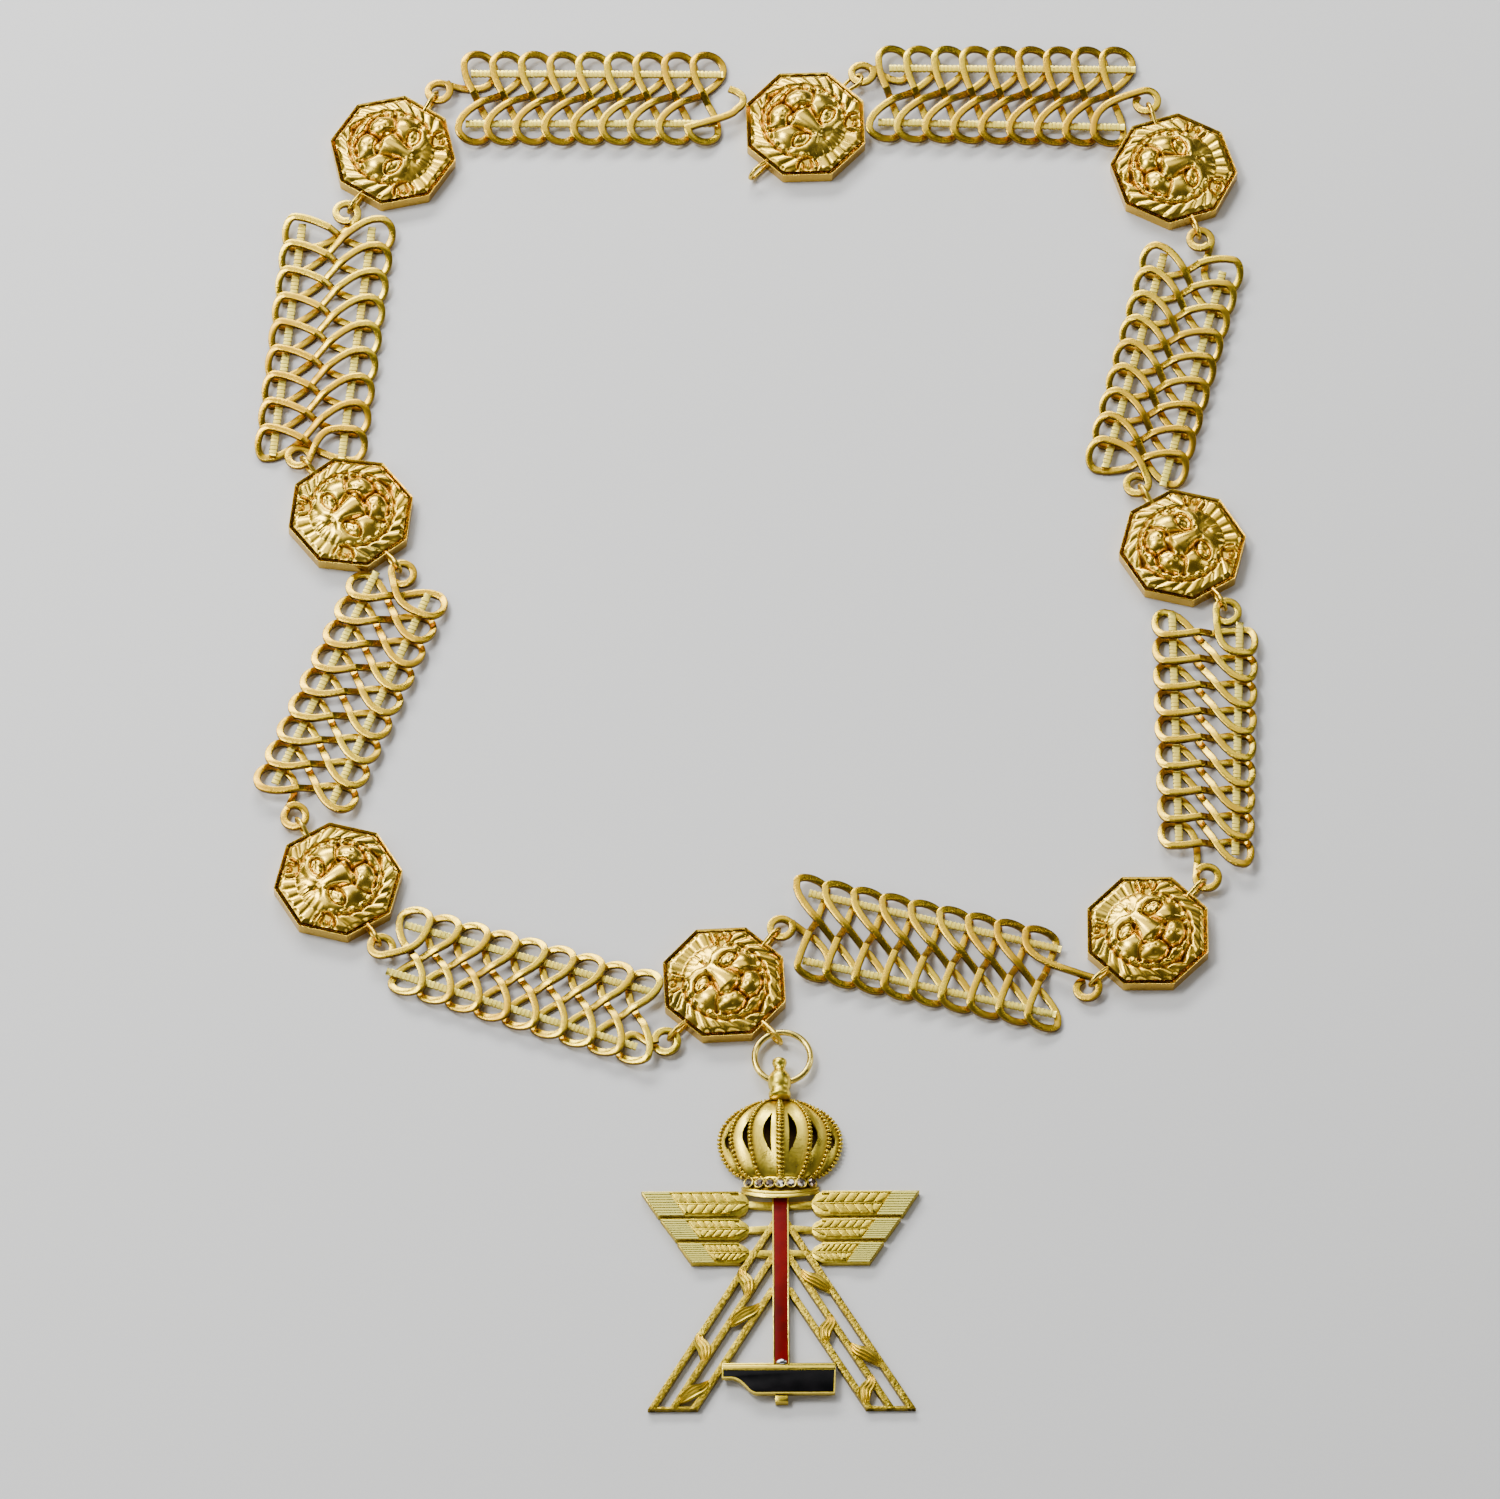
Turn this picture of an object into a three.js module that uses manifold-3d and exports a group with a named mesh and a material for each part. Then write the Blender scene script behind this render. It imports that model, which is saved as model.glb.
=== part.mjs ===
// A chain of office, laid flat: eight lion medallions, eight panels of woven wire
// over two bars each, and a crowned pendant with ears of wheat, a hammer and two legs.
// Units are millimetres and +Z is up. The back of every piece rests on z = 0.
import * as THREE from "three";
import { mergeVertices } from "three/addons/utils/BufferGeometryUtils.js";
import Module from "manifold-3d";

const wasm = await Module();
wasm.setup();

// Clear space between neighbouring pieces
const GAP = 0.3;

// Medallion case: eight flats, a raised rim and a sunk floor
const CASE_FLATS = 36;
const CASE_HEIGHT = 4.6;
const RIM_WIDTH = 1.5;
const FLOOR_HEIGHT = 3.2;
const RELIEF_CELLS = 8;
const RELIEF_BASE = 2;

// Eyelets that stand on the wall of a case: reach from the wall, and height
const EYELET_WIRE = 0.65;
const EYELET_PATH = [
  { out: -1.0, height: 3.6 },
  { out: 3.0, height: 4.9 },
  { out: 5.6, height: 4.4 },
  { out: 6.6, height: 2.75 },
  { out: 5.6, height: 1.15 },
  { out: 3.0, height: 0.8 },
  { out: -1.0, height: 1.0 },
];

// Where each medallion lies and the way the top of its head points, clockwise from the upper left
const MEDALLIONS = [
  { x: -108.9, y: 204.8, up: 327.2 },
  { x: 16.9, y: 214.0, up: 316.8 },
  { x: 129.2, y: 198.4, up: 18.1 },
  { x: 130.4, y: 67.6, up: 31.3 },
  { x: 118.6, y: -63.4, up: 135.3 },
  { x: -7.7, y: -80.7, up: 138.0 },
  { x: -123.0, y: -46.2, up: 211.0 },
  { x: -120.5, y: 78.9, up: 218.1 },
];
const CHIN_EYELET = { medallion: 6, direction: 263, extra: 1.2 };

// Swells of the lion's face: middle, half widths, turn and height; side pieces are mirrored.
// Each one fades out a little beyond its half widths
const SWELL_REACH = 1.6;
const LION = [
  { part: "nose", x: 0, y: -0.6, rx: 3.4, ry: 7.0, turn: 0, top: 9.0, mirrored: false },
  { part: "muzzle", x: 4.8, y: -6.2, rx: 4.8, ry: 4.2, turn: 20, top: 8.2, mirrored: true },
  { part: "chin", x: 0, y: -11.8, rx: 3.6, ry: 2.8, turn: 0, top: 6.8, mirrored: false },
  { part: "cheek", x: 9.6, y: 0.5, rx: 4.4, ry: 5.4, turn: 0, top: 7.2, mirrored: true },
  { part: "brow", x: 6.4, y: 7.2, rx: 5.8, ry: 2.6, turn: -8, top: 7.6, mirrored: true },
  { part: "ear", x: 10.5, y: 11.0, rx: 3.4, ry: 3.4, turn: 0, top: 6.8, mirrored: true },
  { part: "forelock", x: 0, y: 11.5, rx: 2.8, ry: 5.0, turn: 0, top: 7.2, mirrored: false },
  { part: "upper lock", x: 14.6, y: 4.0, rx: 2.2, ry: 4.4, turn: 0, top: 6.2, mirrored: true },
  { part: "middle lock", x: 13.8, y: -5.0, rx: 2.6, ry: 4.4, turn: -20, top: 6.4, mirrored: true },
  { part: "lower lock", x: 9.4, y: -11.6, rx: 4.4, ry: 2.8, turn: 30, top: 6.4, mirrored: true },
];

// Weave: one flat wire bent into nine loops on each side, passing over and under two bars
const WIRE_WIDTH = 2.0;
const WIRE_THICKNESS = 1.5;
const WEAVE_MIDDLE = 2.3;
const WEAVE_DEPTH = 1.55;
const LOOPS = 9;
const LOOP_HALF_WIDTH = 4.65;
const LOOP_BASE = 2.3;
const LOOP_STEPS = 4;
const CROSSING = 2.4;
const BEND_REACH = 9;
const BAR_WIDTH = 2.5;
const BAR_THICKNESS = 1.0;
const BAR_IN_PITCHES = 8.8;

// Tail rings, in which the wire of a panel ends round an eyelet
const RING_RADIUS = 3.35;
const RING_TURN = 330;
const RING_RISE = 1.9;
const RING_STEPS = 8;
const EYELET_MIDDLE = 2.75;
const RING_REACH = 7.6;
const TAIL_STEPS = 3;

// Panels clockwise: middle, heading from first to last loop, half spacing of the bars at
// each end, pitch of the loops, place of the fifth loop on each side, rise of the loops
// over the bars, shift of the left bar ahead of the right, the side of the first loop, and
// the medallion eyelets at both ends
const PANELS = [
  { x: -47.6, y: 223.9, heading: -0.1, near: 8.8, far: 8.6, pitch: 8.75, left: -0.2, right: -1.8,
    leftRise: 8.0, rightRise: 7.5, skew: 0.8, first: "left", from: [1, 90], to: "hook" },
  { x: 78.5, y: 224.6, heading: -0.9, near: 9.5, far: 10.2, pitch: 8.55, left: -0.5, right: -3.1,
    leftRise: 8.0, rightRise: 6.8, skew: 1.6, first: "left", from: [2, 90], to: [3, 90] },
  { x: 125.5, y: 129.2, heading: -104.2, near: 9.4, far: 9.2, pitch: 8.7, left: -2.0, right: -1.4,
    leftRise: 6.5, rightRise: 7.0, skew: 0.9, first: "left", from: [3, -90], to: [4, 90] },
  { x: 137.0, y: 4.2, heading: 89.6, near: 8.4, far: 10.2, pitch: 8.95, left: 1.5, right: -4.5,
    leftRise: 6.4, rightRise: 5.8, skew: 1.6, first: "left", from: [5, -90], to: [4, -90] },
  { x: 54.3, y: -70.5, heading: -13.9, near: 11.2, far: 10.8, pitch: 8.8, left: -5.0, right: 1.8,
    leftRise: 6.0, rightRise: 6.0, skew: -1.8, first: "right", from: [6, -90], to: [5, 90] },
  { x: -68.1, y: -80.4, heading: 162.1, near: 9.4, far: 8.2, pitch: 8.95, left: -3.2, right: 1.0,
    leftRise: 6.1, rightRise: 7.0, skew: 0.2, first: "left", from: [6, 90], to: [7, 90] },
  { x: -119.4, y: 19.3, heading: 68.0, near: 9.2, far: 8.7, pitch: 8.85, left: -1.8, right: -0.1,
    leftRise: 7.0, rightRise: 7.2, skew: 0.6, first: "left", from: [7, -90], to: [8, 90] },
  { x: -129.8, y: 139.0, heading: -95.9, near: 10.6, far: 10.4, pitch: 9.2, left: -2.0, right: -0.1,
    leftRise: 7.6, rightRise: 6.0, skew: -0.5, first: "right", from: [1, -90], to: [8, -90] },
];

// Open hook at the free end of the first panel
const HOOK = [
  { u: 40.5, w: -6.6, z: 3.6 },
  { u: 43.6, w: -4.2, z: 3.4 },
  { u: 45.4, w: -2.0, z: 3.2 },
  { u: 45.4, w: 0.2, z: 3.1 },
  { u: 43.8, w: 2.0, z: 3.0 },
  { u: 41.2, w: 3.2, z: 3.0 },
];

// Pendant: its own origin is on the handle just under the crown
const PENDANT = { x: 8.97, y: -149.0, turn: 0.3 };
const LINK = { x: 0.9, y: 43.9, radius: 8.4, wire: 0.82, height: 2.75 };
const PLATE = 2.2;

// Crown: radius at each height up the dome, squeezed front to back and hollow
const DOME = [
  { y: 4.6, r: 10.6 },
  { y: 7.0, r: 14.6 },
  { y: 11.0, r: 17.4 },
  { y: 16.5, r: 18.5 },
  { y: 22.0, r: 16.8 },
  { y: 26.6, r: 12.6 },
  { y: 29.8, r: 6.6 },
  { y: 30.9, r: 0 },
];
const DOME_SQUEEZE = 0.42;
const HOLLOW_SQUEEZE = 0.36;
const DOME_WALL = 1.4;
const DOME_SIDES = 28;
const FLUTE_DEPTH = 0.8;
const FLUTE_FROM = 5;
const SLOT_FROM = 0.5;
const DOME_TOP = 12;
const SLOTS = [
  { x: 4.2, y: 18.0, rx: 1.15, ry: 7.0 },
  { x: 10.1, y: 17.4, rx: 1.1, ry: 6.6 },
  { x: 15.0, y: 16.6, rx: 0.9, ry: 5.8 },
];
const CROWN_BAND = [
  { y: 5.6, r: 10.6 },
  { y: 5.0, r: 10.6 },
  { y: 5.0, r: 9.2 },
  { y: 1.8, r: 9.2 },
  { y: 1.8, r: 10.6 },
  { y: 1.2, r: 11.7 },
  { y: -0.4, r: 11.7 },
];
const BAND_SIDES = 16;
const BAND_GROOVE = 9.2;
const BAND_SQUEEZE = 0.44;
const STONES = 7;
const STONE = { y: 3.4, step: 20, radius: 1.3, table: 0.75, crown: 0.6, pavilion: 0.7 };

// Finial over the crown: a bored ball, a neck and a cap
const FINIAL = [
  { y: 29.5, r: 0 },
  { y: 29.5, r: 2.0 },
  { y: 32.6, r: 1.9 },
  { y: 34.2, r: 3.4 },
  { y: 37.2, r: 3.4 },
  { y: 38.8, r: 1.5 },
  { y: 40.3, r: 1.5 },
  { y: 41.0, r: 2.2 },
  { y: 42.8, r: 1.7 },
  { y: 42.8, r: 0 },
];
const FINIAL_HEIGHT = 3.6;
const BORE = { y: 35.9, radius: 1.55, height: 2.9 };

// Wheat: three ears on each side, each with a ruled and slanted outer end
const EARS = [
  { top: -0.4, bottom: -8.8, outTop: 41.2, outBottom: 36.1, ruled: 30.8, stem: -4.9 },
  { top: -9.2, bottom: -16.4, outTop: 35.8, outBottom: 31.0, ruled: 26.2, stem: -12.3 },
  { top: -17.3, bottom: -24.0, outTop: 30.7, outBottom: 26.4, ruled: 21.6, stem: -20.7 },
];
const EAR_START = 9.3;
const GRAINS = 3;
const STEM_END = 1.3;
const GRAIN_HEIGHT = 3.3;
const TOOTH = { start: 0.6, length: 0.7, high: 0.1, low: 1.1 };
const NECK_INSET = 0.8;
const STEM_WIDTH = 2.3;

// Legs: three slanted bars on each side that end on one foot line
const FOOT = -71.8;
const LEG_SLOPE = 0.596;
const LEG_WIDTH = 2.4;
const LEGS = [
  { foot: 38.3, top: -9.0 },
  { foot: 32.2, top: -21.5 },
  { foot: 25.9, top: -32.0 },
];
const RIBBONS = [
  { side: -1, between: 0, y: -30.3, steep: true },
  { side: -1, between: 1, y: -40.9, steep: false },
  { side: -1, between: 0, y: -51.8, steep: true },
  { side: -1, between: 1, y: -66.2, steep: false },
  { side: 1, between: 0, y: -29.9, steep: false },
  { side: 1, between: 1, y: -45.9, steep: true },
  { side: 1, between: 0, y: -54.0, steep: false },
  { side: 1, between: 1, y: -65.6, steep: true },
];
const RIBBON_WIDTH = 1.5;
const RIBBON_RISE = { steep: 4.4, flat: 1.6 };

// Hammer: handle with an enamel inlay, and a head with one scooped corner
const HANDLE = { top: 2.0, bottom: -58.0, half: 2.45, inlay: 1.7, height: 3.4 };
const INLAY_TOP = -1.5;
const INLAY_FOOT = 0.8;
const INLAY_SINK = 0.1;
const HEAD = { left: -17.6, right: 16.0, top: -57.0, bottom: -67.5, scoopTop: -62.4, height: 3.6 };
const HEAD_BEVEL = 2.9;
const HEAD_FRAME = 0.9;
const SCOOP = { lip: 2.6, bend: 6.4, dip: 0.4, end: -7.4, drift: 0.3 };
const HEAD_SLANT = 0.3;
const STUB = { half: 1.9, bottom: -69.8 };

const GILT = new THREE.MeshStandardMaterial({ color: 0xc9962f, metalness: 1, roughness: 0.28 });
const DARK_GILT = new THREE.MeshStandardMaterial({ color: 0xb5842c, metalness: 1, roughness: 0.4 });
const RED_ENAMEL = new THREE.MeshStandardMaterial({ color: 0xb01420, metalness: 0, roughness: 0.2 });
const BLACK_ENAMEL = new THREE.MeshStandardMaterial({ color: 0x111214, metalness: 0, roughness: 0.2 });
const PASTE = new THREE.MeshStandardMaterial({ color: 0xdfe6ea, metalness: 0, roughness: 0.05 });

const radians = THREE.MathUtils.degToRad;

// A closed geometry as a solid that can be joined and cut
function solid(geometry) {
  const bare = geometry.clone();
  bare.deleteAttribute("normal");
  bare.deleteAttribute("uv");
  const merged = mergeVertices(bare, 1e-4);
  const kept = [];
  const index = merged.index.array;
  for (let i = 0; i < index.length; i += 3) {
    const [a, b, c] = index.slice(i, i + 3);
    if (a !== b && b !== c && c !== a) kept.push(a, b, c);
  }
  return new wasm.Manifold(
    new wasm.Mesh({
      numProp: 3,
      vertProperties: merged.attributes.position.array,
      triVerts: new Uint32Array(kept),
    }),
  );
}

function geometryOf(body) {
  const mesh = body.getMesh();
  return new THREE.BufferGeometry()
    .setAttribute("position", new THREE.BufferAttribute(mesh.vertProperties, 3))
    .setIndex(new THREE.BufferAttribute(mesh.triVerts, 1))
    .toNonIndexed();
}

function joined(bodies) {
  return bodies.reduce((whole, body) => whole.add(body));
}

function meshOf(name, geometry, material) {
  geometry.computeVertexNormals();
  const mesh = new THREE.Mesh(geometry, material);
  mesh.name = name;
  return mesh;
}

function groupAt(x, y, turn) {
  const group = new THREE.Group();
  group.position.set(x, y, 0);
  group.rotation.z = radians(turn);
  return group;
}

// A plate with the given outline between two heights
function plate(outline, low, high, curveSegments = 4) {
  const shape = outline instanceof THREE.Shape
    ? outline
    : new THREE.Shape(outline.map(([x, y]) => new THREE.Vector2(x, y)));
  const body = new THREE.ExtrudeGeometry(shape, {
    depth: high - low,
    bevelEnabled: false,
    curveSegments,
  });
  return solid(body.translate(0, 0, low));
}

function block(x0, x1, y0, y1, z0, z1) {
  const box = new THREE.BoxGeometry(x1 - x0, y1 - y0, z1 - z0);
  return solid(box.translate((x0 + x1) / 2, (y0 + y1) / 2, (z0 + z1) / 2));
}

// A bent wire's middle line whose section keeps one side along a fixed axis
class BentWire extends THREE.Curve {
  constructor(points, axis) {
    super();
    this.points = points;
    this.axis = axis;
  }

  getSpacedPoints() {
    return this.points;
  }

  computeFrenetFrames() {
    const last = this.points.length - 1;
    const steps = [];
    for (let i = 0; i < last; i++) {
      const step = this.points[i + 1].clone().sub(this.points[i]);
      steps.push(step.addScaledVector(this.axis, -step.dot(this.axis)).normalize());
    }
    const tangents = [];
    const normals = [];
    const binormals = [];
    for (let i = 0; i <= last; i++) {
      const before = steps[Math.max(i - 1, 0)];
      const after = steps[Math.min(i, last - 1)];
      const along = before.clone().add(after).normalize();
      const mitre = 1 / along.dot(after);
      tangents.push(along);
      normals.push(this.axis.clone().cross(along).multiplyScalar(mitre));
      binormals.push(this.axis.clone());
    }
    return { tangents, normals, binormals };
  }
}

function wire(points, section, axis) {
  return new THREE.ExtrudeGeometry(section, {
    steps: points.length - 1,
    extrudePath: new BentWire(points, axis),
    bevelEnabled: false,
  });
}

function polygon(sides, radius, phase = 0) {
  const points = [];
  for (let i = 0; i < sides; i++) {
    const angle = phase + (i * 2 * Math.PI) / sides;
    points.push(new THREE.Vector2(radius * Math.cos(angle), radius * Math.sin(angle)));
  }
  return new THREE.Shape(points);
}

function octagon(flats) {
  return polygon(8, flats / 2 / Math.cos(Math.PI / 8), Math.PI / 8);
}

// Height of one swell of the face over a point, or the floor outside it
function swell(feature, x, y, sign) {
  const dx = x - sign * feature.x;
  const dy = y - feature.y;
  const turn = radians(sign * feature.turn);
  const u = (dx * Math.cos(turn) + dy * Math.sin(turn)) / feature.rx;
  const v = (dy * Math.cos(turn) - dx * Math.sin(turn)) / feature.ry;
  const fall = Math.max(0, 1 - (u * u + v * v) / SWELL_REACH);
  return FLOOR_HEIGHT + (feature.top - FLOOR_HEIGHT) * Math.sqrt(fall);
}

function faceHeight(x, y) {
  let height = FLOOR_HEIGHT;
  for (const feature of LION) {
    height = Math.max(height, swell(feature, x, y, 1));
    if (feature.mirrored) height = Math.max(height, swell(feature, x, y, -1));
  }
  return height;
}

// The face as a block with a raised top, cut to the inside of the rim
function lionRelief() {
  const inner = CASE_FLATS - 2 * RIM_WIDTH;
  const box = new THREE.BoxGeometry(inner, inner, 1, RELIEF_CELLS, RELIEF_CELLS, 1);
  const at = box.attributes.position;
  for (let i = 0; i < at.count; i++) {
    const top = at.getZ(i) > 0;
    at.setZ(i, top ? faceHeight(at.getX(i), at.getY(i)) : RELIEF_BASE);
  }
  return solid(box).intersect(plate(octagon(inner), 1, 12));
}

// A loop of round wire that stands on the wall of a case, in the given direction
function eyelet(direction, extra = 0) {
  const points = EYELET_PATH.map(({ out, height }) => {
    const reach = CASE_FLATS / 2 + out + (out > 0 ? extra : 0);
    return new THREE.Vector3(reach, 0, height);
  });
  const loop = wire(points, polygon(5, EYELET_WIRE), new THREE.Vector3(0, 1, 0));
  return solid(loop.rotateZ(radians(direction)));
}

// One medallion in the frame of its face: the head's top along +Y
function medallion(number) {
  const inner = CASE_FLATS - 2 * RIM_WIDTH;
  const recess = plate(octagon(inner), FLOOR_HEIGHT, CASE_HEIGHT + 1);
  const bodies = [
    plate(octagon(CASE_FLATS), 0, CASE_HEIGHT).subtract(recess),
    lionRelief(),
    eyelet(0),
    eyelet(180),
  ];
  const { direction, extra } = CHIN_EYELET;
  if (number === CHIN_EYELET.medallion) bodies.push(eyelet(direction, extra));
  const { x, y, up } = MEDALLIONS[number - 1];
  const group = groupAt(x, y, up - 90);
  group.add(meshOf(`medallion_${number}`, geometryOf(joined(bodies)), GILT));
  return group;
}

// Points of a bend that leaves and arrives along given directions
function bend(start, startWay, end, endWay, count) {
  const curve = new THREE.CubicBezierCurve(
    start,
    start.clone().addScaledVector(startWay, BEND_REACH),
    end.clone().addScaledVector(endWay, -BEND_REACH),
    end,
  );
  return curve.getPoints(count).slice(1, -1);
}

// Middle of a tail ring in the panel's frame, and the way from it to the case wall
function ringPlace(panel, [number, side]) {
  const { x, y, up } = MEDALLIONS[number - 1];
  const way = radians(up + side);
  const reach = CASE_FLATS / 2 + RING_REACH;
  const world = new THREE.Vector2(x + reach * Math.cos(way), y + reach * Math.sin(way));
  const turn = radians(-panel.heading);
  return {
    middle: world.sub(new THREE.Vector2(panel.x, panel.y)).rotateAround(new THREE.Vector2(), turn),
    wall: way + turn + Math.PI,
  };
}

// Points once round a tail ring, clockwise and falling, from angle start down to angle end
function ringPoints({ middle, wall }, start, end) {
  const wallAngle = start - THREE.MathUtils.euclideanModulo(start - wall, 2 * Math.PI);
  const points = [];
  for (let i = 0; i <= RING_STEPS; i++) {
    const angle = THREE.MathUtils.lerp(start, end, i / RING_STEPS);
    const rise = (RING_RISE * (angle - wallAngle)) / radians(RING_TURN);
    points.push(new THREE.Vector3(
      middle.x + RING_RADIUS * Math.cos(angle),
      middle.y + RING_RADIUS * Math.sin(angle),
      EYELET_MIDDLE + rise,
    ));
  }
  return points;
}

// Flat bend between a ring and a loop, level where it crosses the weave
function tailBend(from, to, count, levelFirst) {
  const [start, startWay] = from;
  const [end, endWay] = to;
  return bend(
    new THREE.Vector2(start.x, start.y), startWay, new THREE.Vector2(end.x, end.y), endWay, count,
  ).map(({ x, y }, i) => {
    const share = (i + 1) / count;
    const early = Math.min(1, 4 * share);
    const late = Math.max(0, 4 * share - 3);
    return new THREE.Vector3(x, y, THREE.MathUtils.lerp(start.z, end.z, levelFirst ? late : early));
  });
}

// Wire of one panel as a list of points, loop after loop from the near end to the far end
function weavePoints(panel) {
  const halfAt = (u) => {
    const along = u / (BAR_IN_PITCHES * panel.pitch) + 0.5;
    return THREE.MathUtils.lerp(panel.near, panel.far, along);
  };
  const loopPoints = (side, k) => {
    const sign = side === "left" ? 1 : -1;
    const middle = panel[side] + (k - (LOOPS - 1) / 2) * panel.pitch;
    const base = halfAt(middle) + LOOP_BASE;
    const rise = panel[`${side}Rise`] - LOOP_BASE - WIRE_WIDTH / 2;
    const points = [];
    for (let i = 0; i <= LOOP_STEPS; i++) {
      const turn = (i * Math.PI) / LOOP_STEPS;
      points.push(new THREE.Vector3(
        middle + LOOP_HALF_WIDTH * Math.cos(turn),
        sign * (base + rise * Math.sin(turn)),
        WEAVE_MIDDLE - WEAVE_DEPTH * Math.cos(turn),
      ));
    }
    return points;
  };
  const order = panel.first === "left" ? ["left", "right"] : ["right", "left"];
  const loops = [];
  for (let k = 0; k < LOOPS; k++) {
    for (const side of order) loops.push(loopPoints(side, k));
  }
  const inward = (p) => new THREE.Vector2(0, -Math.sign(p.y));
  const points = [...nearTail(panel, loops[0][0]), ...loops[0]];
  for (let i = 1; i < loops.length; i++) {
    points.push(...strand(points.at(-1), loops[i][0]), ...loops[i]);
  }
  const last = points.at(-1);
  points.push(...farTail(panel, last, inward(last)));
  return points;
}

// Two points where a strand dips from the front to the back at the middle of the panel
function strand(from, to) {
  const sign = Math.sign(from.y);
  const curve = new THREE.CubicBezierCurve(
    new THREE.Vector2(from.x, from.y),
    new THREE.Vector2(from.x, from.y - sign * BEND_REACH),
    new THREE.Vector2(to.x, to.y + sign * BEND_REACH),
    new THREE.Vector2(to.x, to.y),
  );
  const samples = curve.getPoints(48);
  return [sign * CROSSING, -sign * CROSSING].map((level) => {
    const near = samples.reduce((best, p) =>
      Math.abs(p.y - level) < Math.abs(best.y - level) ? p : best);
    const z = WEAVE_MIDDLE + Math.sign(level) * sign * WEAVE_DEPTH;
    return new THREE.Vector3(near.x, near.y, z);
  });
}

// Start of the wire: once round its eyelet, then under the weave to the first loop
function nearTail(panel, loopStart) {
  const place = ringPlace(panel, panel.from);
  const way = new THREE.Vector2(0, Math.sign(loopStart.y));
  const aim = new THREE.Vector2(loopStart.x, loopStart.y).addScaledVector(way, -BEND_REACH);
  const toAim = aim.sub(place.middle);
  const leave = toAim.angle() + Math.acos(RING_RADIUS / toAim.length());
  const ring = ringPoints(place, leave + radians(RING_TURN), leave);
  const leaving = new THREE.Vector2(Math.sin(leave), -Math.cos(leave));
  return [...ring, ...tailBend([ring.at(-1), leaving], [loopStart, way], TAIL_STEPS, false)];
}

// End of the wire: over the weave from the last loop to an eyelet, or into the open hook
function farTail(panel, loopEnd, inward) {
  if (panel.to === "hook") return HOOK.map(({ u, w, z }) => new THREE.Vector3(u, w, z));
  const place = ringPlace(panel, panel.to);
  const aim = new THREE.Vector2(loopEnd.x, loopEnd.y).addScaledVector(inward, BEND_REACH);
  const toAim = aim.sub(place.middle);
  const enter = toAim.angle() - Math.acos(RING_RADIUS / toAim.length());
  const ring = ringPoints(place, enter, enter - radians(RING_TURN));
  const entering = new THREE.Vector2(Math.sin(enter), -Math.cos(enter));
  return [...tailBend([loopEnd, inward], [ring[0], entering], TAIL_STEPS, true), ...ring];
}

// One panel: the wire and its two bars
function panelGroup(number) {
  const panel = PANELS[number - 1];
  const group = groupAt(panel.x, panel.y, panel.heading);
  const w = WIRE_WIDTH / 2;
  const t = WIRE_THICKNESS / 2;
  const section = new THREE.Shape([
    new THREE.Vector2(-w, -t),
    new THREE.Vector2(w, -t),
    new THREE.Vector2(w, t),
    new THREE.Vector2(-w, t),
  ]);
  const up = new THREE.Vector3(0, 0, 1);
  group.add(meshOf(`weave_${number}`, wire(weavePoints(panel), section, up), GILT));
  const length = BAR_IN_PITCHES * panel.pitch;
  for (const [side, sign] of [["left", 1], ["right", -1]]) {
    const bar = meshOf(
      `bar_${number}_${side}`,
      new THREE.BoxGeometry(length, BAR_WIDTH, BAR_THICKNESS),
      DARK_GILT,
    );
    bar.position.set(sign * panel.skew, (sign * (panel.near + panel.far)) / 2, WEAVE_MIDDLE);
    bar.rotation.z = Math.atan2(sign * (panel.far - panel.near), length);
    group.add(bar);
  }
  return group;
}

// A body turned round the pendant's long axis, squeezed front to back, kept above the back plane
function turnedHalf(profile, sides, squeeze, height = 0) {
  const points = profile.map(({ y, r }) => new THREE.Vector2(r, y));
  const lathe = new THREE.LatheGeometry(points, sides).scale(1, 1, squeeze);
  return solid(lathe.translate(0, 0, height));
}

// Pull the dome in between the ribs
function fluted(geometry) {
  const at = geometry.attributes.position;
  for (let i = 0; i < at.count; i++) {
    const x = at.getX(i);
    const z = at.getZ(i);
    const radius = Math.hypot(x, z);
    const angle = Math.atan2(x, z) / ((2 * Math.PI) / DOME_SIDES);
    const between = Math.abs(Math.round(angle)) % 2;
    if (radius < FLUTE_FROM || !between) continue;
    const scale = (radius - FLUTE_DEPTH) / radius;
    at.setX(i, x * scale);
    at.setZ(i, z * scale);
  }
  return geometry;
}

function dome() {
  const outer = DOME.map(({ y, r }) => new THREE.Vector2(r, y));
  const closed = [new THREE.Vector2(0, DOME[0].y), ...outer];
  const inner = outer.slice(0, -1).map((p) => new THREE.Vector2(p.x - 2 * DOME_WALL, p.y));
  const hollow = [
    new THREE.Vector2(0, DOME[0].y + DOME_WALL),
    ...inner.filter((p) => p.y > DOME[0].y),
    new THREE.Vector2(0, DOME.at(-1).y - DOME_WALL),
  ];
  const skin = fluted(new THREE.LatheGeometry(closed, DOME_SIDES)).scale(1, 1, DOME_SQUEEZE);
  const space = new THREE.LatheGeometry(hollow, DOME_SIDES / 2).scale(1, 1, HOLLOW_SQUEEZE);
  let body = solid(skin).subtract(solid(space));
  for (const { x, y, rx, ry } of SLOTS) {
    for (const sign of [1, -1]) {
      const slot = new THREE.Shape();
      slot.absellipse(sign * x, y, rx, ry, 0, 2 * Math.PI);
      body = body.subtract(plate(slot, SLOT_FROM, DOME_TOP, 2));
    }
  }
  return body;
}

// The seven stones stand side by side in front of the groove, each facing a little outwards
function stonePlace(number) {
  const angle = (number - (STONES + 1) / 2) * STONE.step;
  return {
    x: (BAND_GROOVE + STONE.pavilion) * Math.sin(radians(angle)),
    z: BAND_GROOVE * BAND_SQUEEZE * Math.cos(radians(angle)) + STONE.pavilion + GAP,
  };
}

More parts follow.
